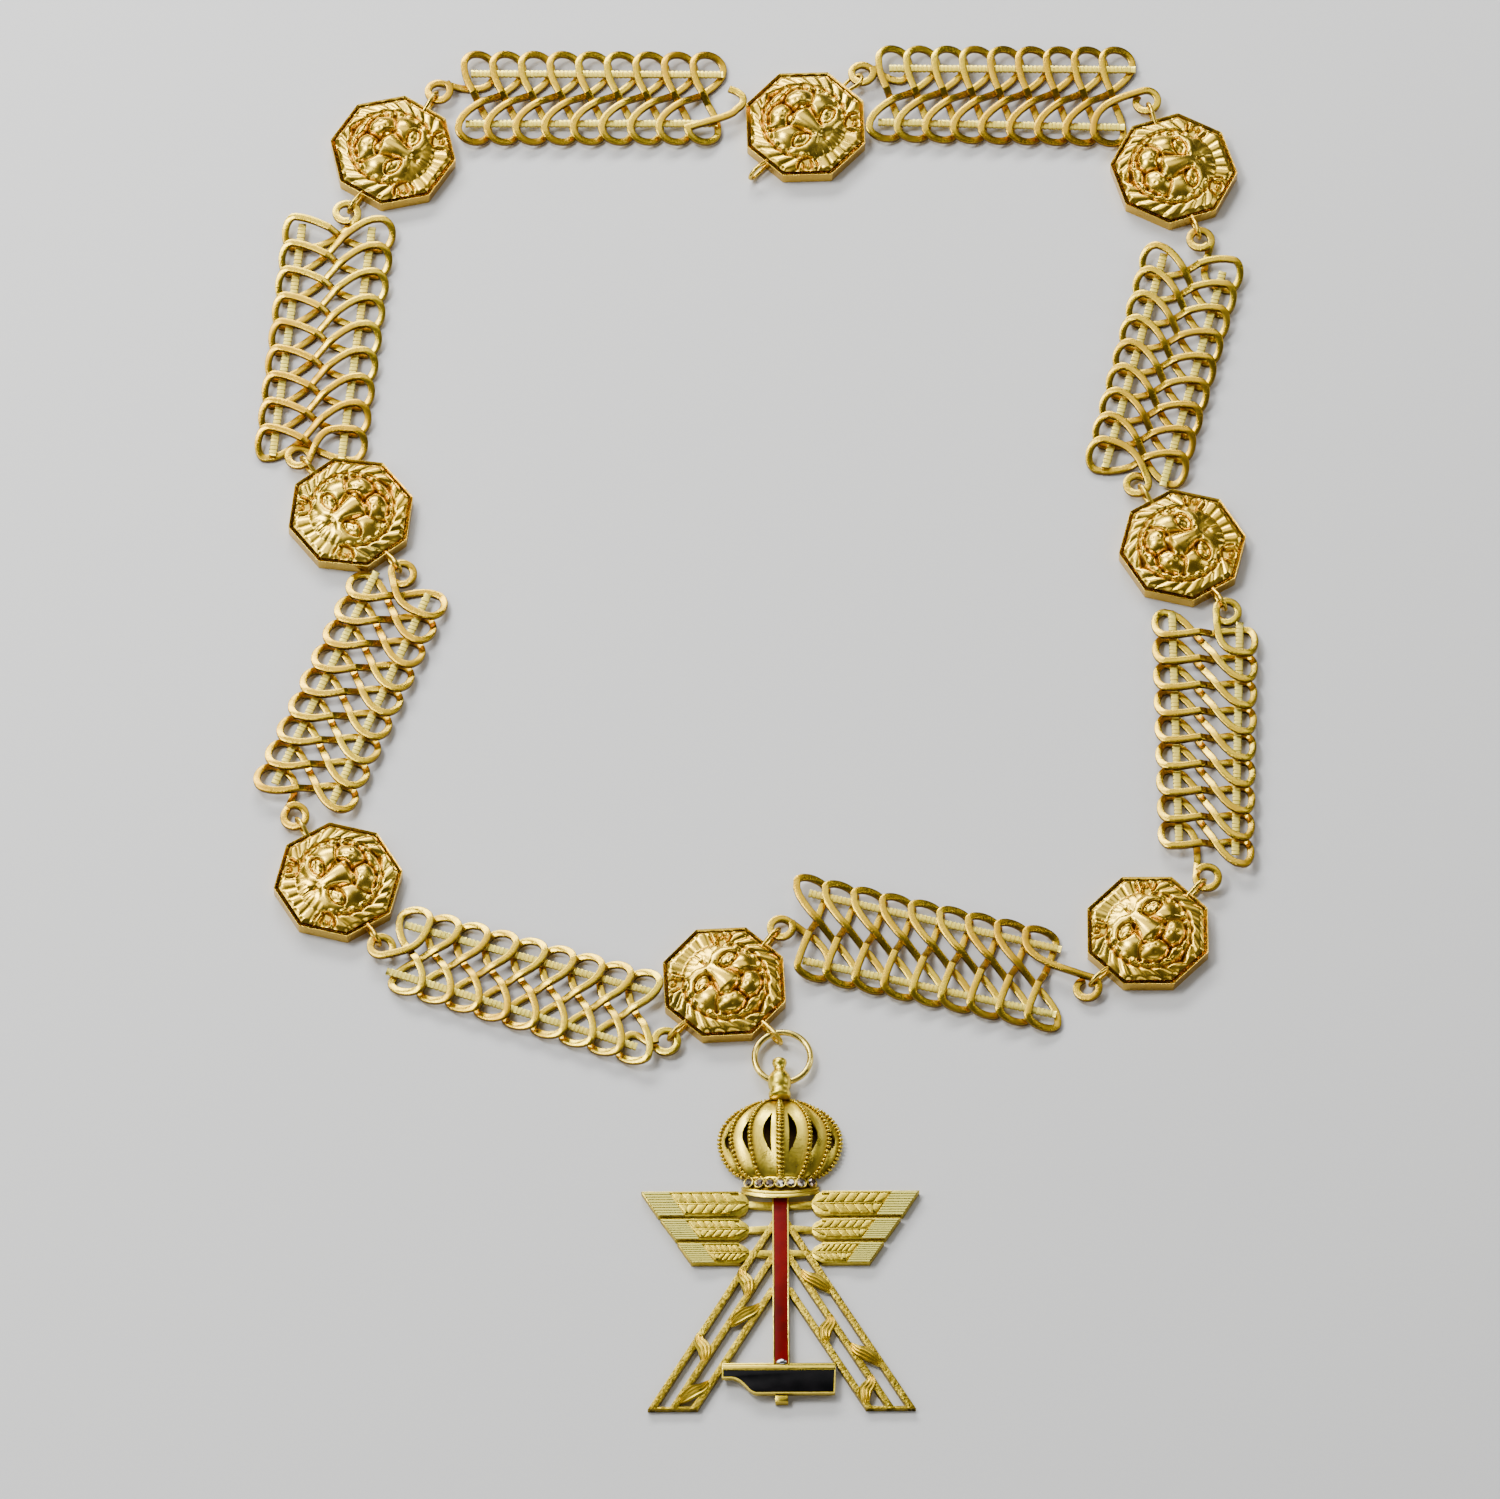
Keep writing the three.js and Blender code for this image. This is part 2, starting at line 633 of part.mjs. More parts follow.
// The jewelled band and flange at the foot of the crown, with a groove for the stones
function crownBand() {
  const profile = [{ y: CROWN_BAND[0].y, r: 0 }, ...CROWN_BAND, { y: CROWN_BAND.at(-1).y, r: 0 }];
  return turnedHalf(profile.reverse(), BAND_SIDES, BAND_SQUEEZE);
}

function stoneMesh(number) {
  const { radius, table, crown, pavilion } = STONE;
  const profile = [
    new THREE.Vector2(0, -pavilion),
    new THREE.Vector2(radius, 0),
    new THREE.Vector2(table, crown),
    new THREE.Vector2(0, crown),
  ];
  const { x, z } = stonePlace(number);
  const gem = new THREE.LatheGeometry(profile, 8).rotateX(Math.PI / 2);
  const mesh = meshOf(`crown_stone_${number}`, geometryOf(solid(gem)), PASTE);
  mesh.position.set(x, STONE.y, z);
  return mesh;
}

function finial() {
  const bore = new THREE.CylinderGeometry(BORE.radius, BORE.radius, 12, 8).rotateZ(Math.PI / 2);
  return turnedHalf(FINIAL, 10, 1, FINIAL_HEIGHT)
    .subtract(solid(bore.translate(0, BORE.y, BORE.height)));
}

// One ear: a plate, a ruled end and a row of grains with a toothed edge
function ear({ top, bottom, outTop, outBottom, ruled, stem }, sign) {
  const slope = outTop - outBottom;
  const ruledTop = ruled + slope / 2;
  const ruledBottom = ruled - slope / 2;
  const middle = (top + bottom) / 2;
  const end = [
    [sign * ruledTop, top], [sign * outTop, top], [sign * outBottom, bottom],
    [sign * ruledBottom, bottom],
  ];
  const back = [
    [sign * EAR_START, top - NECK_INSET], [sign * outTop, top], [sign * outBottom, bottom],
    [sign * EAR_START, bottom + NECK_INSET],
  ];
  const pitch = (ruled - EAR_START - slope / 2) / GRAINS;
  const upper = [];
  const lower = [];
  for (let i = 0; i < GRAINS; i++) {
    const x = EAR_START + (i + TOOTH.start) * pitch;
    const next = x + pitch * TOOTH.length;
    upper.push([sign * x, top - TOOTH.high], [sign * next, top - TOOTH.low]);
    lower.push([sign * x, bottom + TOOTH.high], [sign * next, bottom + TOOTH.low]);
  }
  const reach = EAR_START * STEM_END;
  const tip = [sign * (EAR_START - 1), middle];
  const grains = [tip, ...upper, [sign * ruled, middle], ...lower.reverse()];
  return joined([
    plate(end, 0, PLATE + 0.5),
    plate(back, 0, PLATE - 0.4),
    plate(grains, PLATE - 1, GRAIN_HEIGHT),
    block(Math.min(0, sign * reach), Math.max(0, sign * reach),
      stem - STEM_WIDTH / 2, stem + STEM_WIDTH / 2, 0.3, PLATE),
  ]);
}

function legMiddle({ foot }, y) {
  return foot - LEG_SLOPE * (y - FOOT);
}

// One slanted bar of a leg, cut level at its foot
function legBar(leg, sign) {
  const half = LEG_WIDTH / 2;
  const top = legMiddle(leg, leg.top);
  return plate([
    [sign * (leg.foot - half), FOOT], [sign * (leg.foot + half), FOOT],
    [sign * (top + half), leg.top], [sign * (top - half), leg.top],
  ], 0, PLATE);
}

// A short ribbon between two bars of a leg
function ribbon({ side, between, y, steep }) {
  const rise = steep ? RIBBON_RISE.steep : RIBBON_RISE.flat;
  const outer = legMiddle(LEGS[between], y + rise);
  const inner = legMiddle(LEGS[between + 1], y - rise);
  const half = RIBBON_WIDTH / 2;
  return plate([
    [side * inner, y - rise - half], [side * outer, y + rise - half],
    [side * outer, y + rise + half], [side * inner, y - rise + half],
  ], 0.4, PLATE - 0.3);
}

// Outline of the hammer head, drawn in from its edge
function headOutline(inset, top) {
  const shape = new THREE.Shape();
  const left = HEAD.left + inset;
  const right = HEAD.right - inset;
  const bottom = HEAD.bottom + inset;
  const scoop = HEAD.scoopTop + inset;
  const end = SCOOP.end + inset * SCOOP.drift;
  shape.moveTo(left, top);
  shape.lineTo(left, scoop);
  shape.lineTo(left + SCOOP.lip, scoop);
  shape.bezierCurveTo(left + SCOOP.bend, scoop - SCOOP.dip, end - SCOOP.lip, bottom, end, bottom);
  shape.lineTo(right - HEAD_SLANT, bottom);
  shape.lineTo(right, top);
  return shape;
}

function hammer() {
  const { top, bottom, half, inlay, height } = HANDLE;
  const tray = block(-half, half, bottom, top, 0, height)
    .subtract(block(-inlay - GAP, inlay + GAP, HEAD.top + INLAY_FOOT, INLAY_TOP + GAP, PLATE, height + 1));
  const head = plate(headOutline(0, HEAD.top), 0, HEAD.height)
    .subtract(plate(headOutline(HEAD_FRAME, HEAD.top - HEAD_BEVEL), PLATE, HEAD.height + 1));
  const stub = block(-STUB.half, STUB.half, STUB.bottom, HEAD.bottom + 1, 0.2, PLATE + 0.6);
  return joined([tray, head, stub]);
}

// Everything of the pendant that is soldered into one piece of metal
function pendantBody() {
  const bodies = [dome(), crownBand(), finial(), hammer()];
  for (const sign of [1, -1]) {
    for (const row of EARS) bodies.push(ear(row, sign));
    for (const leg of LEGS) bodies.push(legBar(leg, sign));
  }
  for (const row of RIBBONS) bodies.push(ribbon(row));
  const aboveBack = block(-60, 60, -90, 60, 0, 20);
  return joined(bodies).intersect(aboveBack);
}

function pendantGroup() {
  const group = groupAt(PENDANT.x, PENDANT.y, PENDANT.turn);
  group.add(meshOf("pendant_body", geometryOf(pendantBody()), GILT));
  const link = meshOf("pendant_ring", new THREE.TorusGeometry(LINK.radius, LINK.wire, 6, 16), GILT);
  link.position.set(LINK.x, LINK.y, LINK.height);
  group.add(link);
  const { inlay, height } = HANDLE;
  const foot = HEAD.top + INLAY_FOOT + GAP;
  const red = block(-inlay, inlay, foot, INLAY_TOP, PLATE + GAP, height - INLAY_SINK);
  group.add(meshOf("handle_enamel", geometryOf(red), RED_ENAMEL));
  const outline = headOutline(HEAD_FRAME + GAP, HEAD.top - HEAD_BEVEL - GAP);
  const black = plate(outline, PLATE + GAP, HEAD.height - INLAY_SINK);
  group.add(meshOf("head_enamel", geometryOf(black), BLACK_ENAMEL));
  for (let number = 1; number <= STONES; number++) group.add(stoneMesh(number));
  return group;
}

const chain = new THREE.Group();
for (let number = 1; number <= MEDALLIONS.length; number++) chain.add(medallion(number));
for (let number = 1; number <= PANELS.length; number++) chain.add(panelGroup(number));
chain.add(pendantGroup());

// The origin is the middle of the whole chain, at the level it lies on
chain.updateMatrixWorld(true);
const middle = new THREE.Box3().setFromObject(chain, true).getCenter(new THREE.Vector3());
chain.position.set(-middle.x, -middle.y, 0);
const collar = new THREE.Group();
collar.add(chain);

export default collar;
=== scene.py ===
import math

import bmesh
import bpy
import numpy as np
from mathutils import Matrix, Vector


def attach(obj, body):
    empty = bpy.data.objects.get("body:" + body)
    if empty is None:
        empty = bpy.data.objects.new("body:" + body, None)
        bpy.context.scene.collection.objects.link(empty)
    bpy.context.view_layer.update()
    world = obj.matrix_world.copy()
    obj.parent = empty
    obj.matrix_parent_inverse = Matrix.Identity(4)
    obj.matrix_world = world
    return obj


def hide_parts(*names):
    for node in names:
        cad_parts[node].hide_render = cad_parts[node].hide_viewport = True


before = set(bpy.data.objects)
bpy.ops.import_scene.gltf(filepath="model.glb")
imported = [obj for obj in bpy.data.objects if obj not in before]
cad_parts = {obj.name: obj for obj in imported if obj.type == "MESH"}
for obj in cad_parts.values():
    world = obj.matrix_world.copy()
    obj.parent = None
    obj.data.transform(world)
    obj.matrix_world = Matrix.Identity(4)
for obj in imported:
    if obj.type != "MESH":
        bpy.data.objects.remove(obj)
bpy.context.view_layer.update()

# View, light and floor. The chain lies flat on a plain pale table and is seen from the front and
# well above, through a long lens. A wide soft light stands behind it and a weaker card hangs where
# the flat tops mirror it, so that the polished gold shows pale tops over deep yellow flanks.
MM = 0.001
AIM = Vector((-1.565, -10.807, 0.0)) * MM
VIEW_HEIGHT = math.radians(62)
VIEW_DISTANCE = 5.5
LENS = 440
SENSOR = 36
FLOOR_SIZE = 3.0
LIGHTS = [
    # name, place, size across and along, watts
    ("back light", (-0.45, 1.35, 0.9), (1.3, 0.4), 30),
    ("card", (0.0, 0.9, 1.6), (1.5, 0.7), 5.5),
    ("top light", (-0.85, 0.35, 1.5), (0.5, 0.5), 20),
    ("left light", (-1.2, -0.2, 0.8), (0.3, 1.0), 5),
    ("right light", (1.3, 0.3, 0.7), (0.25, 0.8), 3),
    ("front light", (0.3, -1.5, 0.9), (1.2, 0.3), 3),
]
SKY_GREY = 0.06


class Term:
    """A socket of a material, which can stand in a sum as a number does."""

    def __init__(self, finish, socket):
        self.finish = finish
        self.socket = socket

    def sum(self, operation, *others):
        return self.finish.node("ShaderNodeMath", dict(enumerate(others)), operation=operation)

    def __add__(self, other):
        return self.sum("ADD", self, other)

    def __radd__(self, other):
        return self.sum("ADD", other, self)

    def __sub__(self, other):
        return self.sum("SUBTRACT", self, other)

    def __rsub__(self, other):
        return self.sum("SUBTRACT", other, self)

    def __mul__(self, other):
        return self.sum("MULTIPLY", self, other)

    def __rmul__(self, other):
        return self.sum("MULTIPLY", other, self)

    def clamped(self):
        return self.finish.node("ShaderNodeClamp", {"Value": self})


class Finish:
    """A material that is put together node by node."""

    def __init__(self, name):
        self.material = bpy.data.materials.new(name)
        self.material.use_nodes = True
        self.tree = self.material.node_tree
        self.shader = self.tree.nodes["Principled BSDF"]

    def node(self, kind, values=None, output=0, **settings):
        made = self.tree.nodes.new(kind)
        for setting, value in settings.items():
            setattr(made, setting, value)
        for socket, value in (values or {}).items():
            self.feed(made.inputs[socket], value)
        return Term(self, made.outputs[output])

    def feed(self, socket, value):
        if isinstance(value, Term):
            self.tree.links.new(value.socket, socket)
        elif isinstance(value, tuple) and len(value) == 3 and socket.type == "RGBA":
            socket.default_value = (*value, 1)
        else:
            socket.default_value = value

    def place(self):
        return self.node("ShaderNodeTexCoord", output=3)

    def noise(self, scale, detail=3.0, at=None):
        where = at or self.place()
        return self.node("ShaderNodeTexNoise", {"Vector": where, "Scale": scale, "Detail": detail})

    def kept(self, attribute):
        return self.node("ShaderNodeAttribute", output=2, attribute_name=attribute)

    def mixed(self, amount, first, second):
        values = {0: amount, 6: first, 7: second}
        return self.node("ShaderNodeMix", values, output=2, data_type="RGBA")

    def spread(self, value, low, high, to_low=0.0, to_high=1.0):
        values = {0: value, 1: low, 2: high, 3: to_low, 4: to_high}
        return self.node("ShaderNodeMapRange", values)

    def bump(self, height, distance, strength=1.0):
        values = {"Height": height, "Distance": distance, "Strength": strength}
        return self.node("ShaderNodeBump", values)

    def surface(self, **sockets):
        for name, value in sockets.items():
            self.feed(self.shader.inputs[name.replace("_", " ")], value)
        return self.material


def made(shape, name, finish, sharp=40):
    """The finished object of a shape, smooth but for its sharp edges."""
    mesh = bpy.data.meshes.new(name)
    creases = [i for i, edge in enumerate(shape.edges) if not edge.smooth]
    shape.to_mesh(mesh)
    shape.free()
    mesh.shade_smooth()
    mesh.set_sharp_from_angle(angle=math.radians(sharp))
    for i in creases:
        mesh.edges[i].use_edge_sharp = True
    mesh.materials.append(finish)
    piece = bpy.data.objects.new(name, mesh)
    bpy.context.collection.objects.link(piece)
    return piece


camera_data = bpy.data.cameras.new("camera")
camera_data.lens = LENS
camera_data.sensor_width = SENSOR
camera_data.clip_start = 0.1
camera_data.clip_end = 50
camera = bpy.data.objects.new("camera", camera_data)
camera.location = AIM + VIEW_DISTANCE * Vector((0, -math.cos(VIEW_HEIGHT), math.sin(VIEW_HEIGHT)))
camera.rotation_euler = (math.pi / 2 - VIEW_HEIGHT, 0, 0)
bpy.context.collection.objects.link(camera)
bpy.context.scene.camera = camera

for name, place, (across, along), watts in LIGHTS:
    light_data = bpy.data.lights.new(name, "AREA")
    light_data.shape = "RECTANGLE"
    light_data.size = across
    light_data.size_y = along
    light_data.energy = watts
    light = bpy.data.objects.new(name, light_data)
    light.location = place
    light.rotation_euler = (AIM - Vector(place)).to_track_quat("-Z", "Y").to_euler()
    bpy.context.collection.objects.link(light)

world = bpy.data.worlds.new("studio")
world.use_nodes = True
world.node_tree.nodes["Background"].inputs["Color"].default_value = (SKY_GREY,) * 3 + (1,)
bpy.context.scene.world = world

table = Finish("pale table")
cloud = table.noise(3.0, 2.0)
table_finish = table.surface(
    Base_Color=table.mixed(cloud, (0.80, 0.80, 0.79), (0.84, 0.84, 0.83)),
    Roughness=0.65,
    Normal=table.bump(table.noise(900.0), 0.0002, 0.2),
)
shape = bmesh.new()
bmesh.ops.create_grid(shape, x_segments=1, y_segments=1, size=FLOOR_SIZE)
floor = made(shape, "table", table_finish)


# Finish of the medallions. The base metal is cast and heavily gilt; painted shade darkens its side walls, so
# the tops look pale, and darkens the hollows round the eyes, the nose and the locks to red-brown.
# Share of painted shade that darkens the side walls.
WALL_SHADE = 0.5


def gilding(name, bright, deep, dirt_and_shade, roughness, grain, hollow=None, speckle=0.0):
    """Gold with cloudy tone and fine grain; side walls and hollows are darkened with painted shade, and pits
    with dark dirt.
    """
    gold = Finish(name)
    cloud = gold.spread(gold.noise(45.0, 2.0), 0.35, 0.65)
    speck = gold.noise(1500.0, 4.0)
    smear = gold.noise(260.0, 3.0)
    upright = gold.node("ShaderNodeSeparateXYZ", {0: gold.node("ShaderNodeNewGeometry", output=1)}, output=2)
    # Side walls, whose normals lie flat, take the dark colour: painted shade.
    wall = gold.spread(upright.sum("ABSOLUTE", upright), 0.55, 0.1)
    tone = gold.mixed(cloud * 0.6, bright, deep)
    tone = gold.mixed(gold.spread(smear, 0.55, 0.75) * 0.3, tone, deep)
    tone = gold.mixed(wall * WALL_SHADE, tone, dirt_and_shade)
    rough = gold.spread(smear, 0.3, 0.7, roughness - 0.05, roughness + 0.09)
    if speckle:
        pit = gold.spread(gold.noise(1100.0, 2.0), 0.42, 0.62)
        tone = gold.mixed(pit * speckle, tone, dirt_and_shade)
    # Painted shade darkens the hollows that the mask marks.
    if hollow:
        low = (gold.kept(hollow) + (speck - 0.5) * 0.3).clamped()
        tone = gold.mixed(low, tone, dirt_and_shade)
        rough = rough + low * 0.18
    relief = speck * grain + smear * (grain * 0.5)
    return gold.surface(
        Base_Color=tone,
        Metallic=1.0,
        Roughness=rough,
        Normal=gold.bump(relief, 0.001, 0.35),
    )


cast_gilt = gilding(
    "old cast gilding", (1.0, 0.70, 0.085), (0.90, 0.53, 0.03), (0.25, 0.11, 0.008), 0.24, 0.03,
    hollow="hollow",
)

# Eight medallions. Each is an eight-sided cast case with a raised rim and a lion's head in high
# relief, with rope-like locks round it, and two wire eyelets soldered to its sides. The sixth
# carries a third eyelet under the chin for the ring of the pendant.
ROW_SHIFT = Vector((-1.565, -10.807, 0.0))
CASE_FLATS = 36
CASE_HEIGHT = 4.6
RIM_WIDTH = 1.4
RIM_ROUND = 0.22
FLAT_AREA = 6
FLOOR_HEIGHT = 3.2
RELIEF_CELLS = 124
RELIEF_TOP = 8.9
RIM_EASE = 1.0
EDGE_HEIGHT = 1.25
LOCK_ANGLES = (30, 14.5, -1, -16.5, -32, -47.5, -63, -79)
MANE_ANGLES = (90, 78, 66, 54)
MANE_REACHES = (9.4, 11.4, 13.6, 16.4)
HOLLOW_REACH = 0.75
HOLLOW_FROM, HOLLOW_SPAN = 0.06, 0.42
MEDALLIONS = [
    (-108.9, 204.8, 327.2), (16.9, 214.0, 316.8), (129.2, 198.4, 18.1), (130.4, 67.6, 31.3),
    (118.6, -63.4, 135.3), (-7.7, -80.7, 138.0), (-123.0, -46.2, 211.0), (-120.5, 78.9, 218.1),
]
EYELET_WIRE = 0.65
EYELET_PATH = [(-1.0, 3.6), (3.0, 4.9), (5.6, 4.4), (6.6, 2.75), (5.6, 1.15), (3.0, 0.8), (-1.0, 1.0)]
EYELET_MIDDLE = 2.75
CHIN_EYELET = (6, 263, 1.2)
FREE_EYELET = 2
FREE_LEAN = 62


def swell(x, y, at, size, turn, height, power=0.5):
    """Height of a rounded lump with an oval foot."""
    turn = math.radians(turn)
    dx, dy = x - at[0], y - at[1]
    u = (dx * math.cos(turn) + dy * math.sin(turn)) / size[0]
    v = (dy * math.cos(turn) - dx * math.sin(turn)) / size[1]
    return height * np.clip(1 - u * u - v * v, 0, 1) ** power


def nearness(x, y, line):
    """Distance from a bent line, and how far along it the nearest point is, from 0 to 1."""
    best = np.full(x.shape, 1e9)
    along = np.zeros(x.shape)
    for i, ((ax, ay), (bx, by)) in enumerate(zip(line, line[1:])):
        ex, ey = bx - ax, by - ay
        t = np.clip(((x - ax) * ex + (y - ay) * ey) / (ex * ex + ey * ey), 0, 1)
        far = np.hypot(x - ax - t * ex, y - ay - t * ey)
        along = np.where(far < best, (i + t) / (len(line) - 1), along)
        best = np.minimum(best, far)
    return best, along


def cord_ridge(x, y, line, width, height, taper=0.0):
    """Height of a round ridge that follows a bent line and may thin towards its end."""
    far, along = nearness(x, y, line)
    wide = width * (1 - taper * along)
    return height * (1 - 0.45 * taper * along) * np.sqrt(np.clip(1 - (far / wide) ** 2, 0, 1))


def cut(x, y, line, width, depth):
    """Depth of a soft groove along a bent line."""
    far, _ = nearness(x, y, line)
    return depth * np.exp(-((far / width) ** 2))


def lion_heights(x, y):
    """Height of the head over the floor of the case at each point, in millimetres."""
    side = np.abs(x)
    base = 0.9 + 2.6 * np.clip(1 - (x / 12.7) ** 2 - ((y + 0.4) / 13.0) ** 2, 0, 1) ** 0.65
    lumps = []
    # Locks at the sides and under the chin: broad overlapping lobes, swept back to the rim
    for angle in LOCK_ANGLES:
        turn = math.radians(angle)
        out = np.array([math.cos(turn), math.sin(turn)])
        across = np.array([-out[1], out[0]])
        line = [tuple(out * far_out + across * aside)
                for far_out, aside in ((12.4, 2.0), (14.2, 0.5), (16.6, -1.9))]
        far, along = nearness(side, y, line)
        lumps.append((1.9 - 0.6 * along) * np.clip(1 - (far / 2.1) ** 2, 0, 1) ** 0.7)
    # Mane that fans from the forehead to the rim
    for angle in MANE_ANGLES:
        way = (math.cos(math.radians(angle)), math.sin(math.radians(angle)))
        line = [(way[0] * r, way[1] * r + 0.6) for r in MANE_REACHES]
        lumps.append(cord_ridge(side, y, line, 1.45, 0.9, -0.5))
    # Forehead in two smooth plates with a valley between them
    lumps.append(swell(side, y, (3.6, 8.4), (4.6, 3.6), 22, 0.9, 0.8))
    # Brows that sweep out and down round the eyes
    lumps.append(cord_ridge(side, y, [(1.8, 5.4), (3.9, 7.0), (7.0, 7.0), (9.4, 4.8)], 2.0, 1.3))
    # Cheeks
    lumps.append(swell(side, y, (7.9, -1.0), (4.8, 5.2), -12, 1.7, 0.75))
    # Nose: a wedge that widens and rises to a blunt end
    share = np.clip((6.8 - y) / 10.0, 0, 1)
    half = 1.6 + 3.2 * share ** 1.2
    top = 1.0 + 1.0 * np.sin(share * math.pi / 2) - 0.05 * side ** 2
    flank = np.clip(1 - (side / half) ** 3, 0, 1) ** 0.6
    end = np.clip((y + 4.4 - 0.07 * side ** 2) / 1.8, 0, 1) ** 0.6
    lumps.append(top * flank * end * np.clip((8.0 - y) / 1.8, 0, 1) ** 0.6)
    # Muzzle in two large lobes, and the chin under them
    lumps.append(swell(side, y, (4.3, -7.0), (5.2, 4.2), 30, 2.3, 0.75))
    lumps.append(swell(x, y, (0, -11.6), (3.8, 2.2), 0, 1.9, 0.8))
    height = base + np.maximum.reduce(lumps)
    # Eyes: a lid with a deep line round it and a ball inside
    lid = swell(side, y, (5.7, 3.7), (3.6, 2.2), -8, 1.0, 1.0)
    height = height - 1.3 * np.exp(-(((lid - 0.22) / 0.15) ** 2)) * (lid > 0)
    height = height + swell(side, y, (5.7, 3.7), (2.3, 1.3), -8, 0.55, 0.8)
    # Ears as curls, open towards the face
    ear = swell(side, y, (10.7, 11.0), (3.5, 3.3), 0, 1, 1)
    height = np.where(ear > 0, np.minimum(height, 1.0), height)
    curl = [(8.0, 10.6), (9.0, 12.8), (11.0, 13.3), (12.7, 11.9), (12.8, 9.8), (11.2, 8.8)]
    height = np.maximum(height, cord_ridge(side, y, curl, 0.95, 2.3, 0.2))
    height = np.maximum(height, swell(side, y, (10.5, 10.9), (1.1, 1.1), 0, 2.2, 0.7))
    # Grooves that part the lumps
    height = height - cut(x, y, [(0, -4.6), (0, -9.4)], 0.4, 1.1)
    height = height - cut(side, y, [(0, -9.6), (3.0, -10.6), (6.2, -10.0), (8.6, -7.4)], 0.42, 1.1)
    height = height - cut(side, y, [(4.2, -2.9), (5.8, -2.7), (7.8, -3.9), (9.6, -5.6)], 0.38, 0.9)
    height = height - cut(side, y, [(1.9, 5.4), (2.7, 2.4), (4.2, -0.8), (4.7, -2.9), (3.0, -4.5), (0, -4.9)],
                          0.38, 1.0)
    height = height - cut(x, y, [(0, 7.6), (0, 12.0)], 0.4, 0.5)
    height = height - cut(side, y, [(10.0, 7.2), (12.0, 4.2), (12.8, 0.0), (12.1, -4.8), (9.4, -9.2),
                                    (5.2, -12.4), (0, -14.0)], 0.42, 0.9)
    for spot in ((2.8, -6.4), (4.6, -5.4), (4.9, -7.6)):
        height = height - 0.3 * np.exp(-(((side - spot[0]) ** 2 + (y - spot[1]) ** 2) / 0.12))
    # Everything sinks to a low edge along the rim, which stands clear all round
    turns = np.arange(8) * math.pi / 4
    reach = np.maximum.reduce([x * math.cos(t) + y * math.sin(t) for t in turns])
    free = np.clip((CASE_FLATS / 2 - RIM_WIDTH - reach) / RIM_EASE, 0, 1) ** 0.6
    height = EDGE_HEIGHT + (height - EDGE_HEIGHT) * free
    return np.clip(height, 0.3, RELIEF_TOP - FLOOR_HEIGHT)


def smooth_line(points, steps):
    """Points along a round curve through the given points."""
    points = [Vector(p) for p in points]
    ends = [2 * points[0] - points[1], *points, 2 * points[-1] - points[-2]]
    line = []
    for a, b, c, d in zip(ends, ends[1:], ends[2:], ends[3:]):
        for i in range(steps):
            t = i / steps
            line.append(0.5 * (2 * b + (c - a) * t + (2 * a - 5 * b + 4 * c - d) * t * t
                               + (3 * b - a - 3 * c + d) * t ** 3))
    return [*line, points[-1]]


def drawn(shape, points, section, axis, swells=None):
    """A section pushed along a line of points, with one side of it kept along the axis."""
    axis = Vector(axis).normalized()
    along_layer = shape.verts.layers.float.get("along") or shape.verts.layers.float.new("along")
    steps = [(b - a) - (b - a).dot(axis) * axis for a, b in zip(points, points[1:])]
    steps = [step.normalized() for step in steps]
    places = []
    for i, point in enumerate(points):
        before, after = steps[max(i - 1, 0)], steps[min(i, len(steps) - 1)]
        way = (before + after).normalized()
        side = axis.cross(way) / max(way.dot(after), 0.5)
        wide, high = swells[i] if swells else (1, 1)
        place = Matrix.Identity(4)
        place.col[0] = (*(side * wide), 0)
        place.col[1] = (*(axis * high), 0)
        place.col[2] = (*way, 0)
        place.col[3] = (*point, 1)
        places.append(place)
    ring = [shape.verts.new(places[0] @ Vector((x, y, 0))) for x, y in section]
    edges = [shape.edges.new((a, b)) for a, b in zip(ring, ring[1:] + ring[:1])]
    ends = [list(edges)]
    length = 0.0
    for i in range(1, len(places)):
        length += (points[i] - points[i - 1]).length
        geometry = bmesh.ops.extrude_edge_only(shape, edges=edges)["geom"]
        fresh = [item for item in geometry if isinstance(item, bmesh.types.BMVert)]
        edges = [item for item in geometry if isinstance(item, bmesh.types.BMEdge)]
        edges = [edge for edge in edges if edge.verts[0] in set(fresh) and edge.verts[1] in set(fresh)]
        move = places[i] @ places[i - 1].inverted()
        bmesh.ops.transform(shape, matrix=move, verts=fresh)
        for vert in fresh:
            vert[along_layer] = length
    ends.append(edges)
    for end in ends:
        bmesh.ops.edgeloop_fill(shape, edges=end)


def circle_section(radius, sides=10):
    turns = [2 * math.pi * i / sides for i in range(sides)]
    return [(radius * math.cos(t), radius * math.sin(t)) for t in turns]


def medallion_case():
    """The eight-sided case with its rounded rim, head upwards."""
    shape = bmesh.new()
    bmesh.ops.create_circle(shape, cap_ends=True, segments=8, radius=CASE_FLATS / 2 / math.cos(math.pi / 8))
    bmesh.ops.rotate(shape, verts=shape.verts, matrix=Matrix.Rotation(math.pi / 8, 3, "Z"))
    face = shape.faces[:][0]
    grown = bmesh.ops.extrude_face_region(shape, geom=[face])["geom"]
    top_verts = [item for item in grown if isinstance(item, bmesh.types.BMVert)]
    bmesh.ops.translate(shape, verts=top_verts, vec=(0, 0, CASE_HEIGHT))
    top = next(item for item in grown if isinstance(item, bmesh.types.BMFace))
    bmesh.ops.inset_region(shape, faces=[top], thickness=RIM_WIDTH, use_even_offset=True)
    bmesh.ops.translate(shape, verts=top.verts, vec=(0, 0, FLOOR_HEIGHT - CASE_HEIGHT))
    bmesh.ops.recalc_face_normals(shape, faces=shape.faces)
    bmesh.ops.bevel(shape, geom=shape.edges, affect="EDGES", offset=RIM_ROUND, segments=3, profile=0.5,
                    material=-1)
    for edge in shape.edges:
        edge.smooth = not any(len(face.verts) > 4 or face.calc_area() > FLAT_AREA for face in edge.link_faces)
    return shape


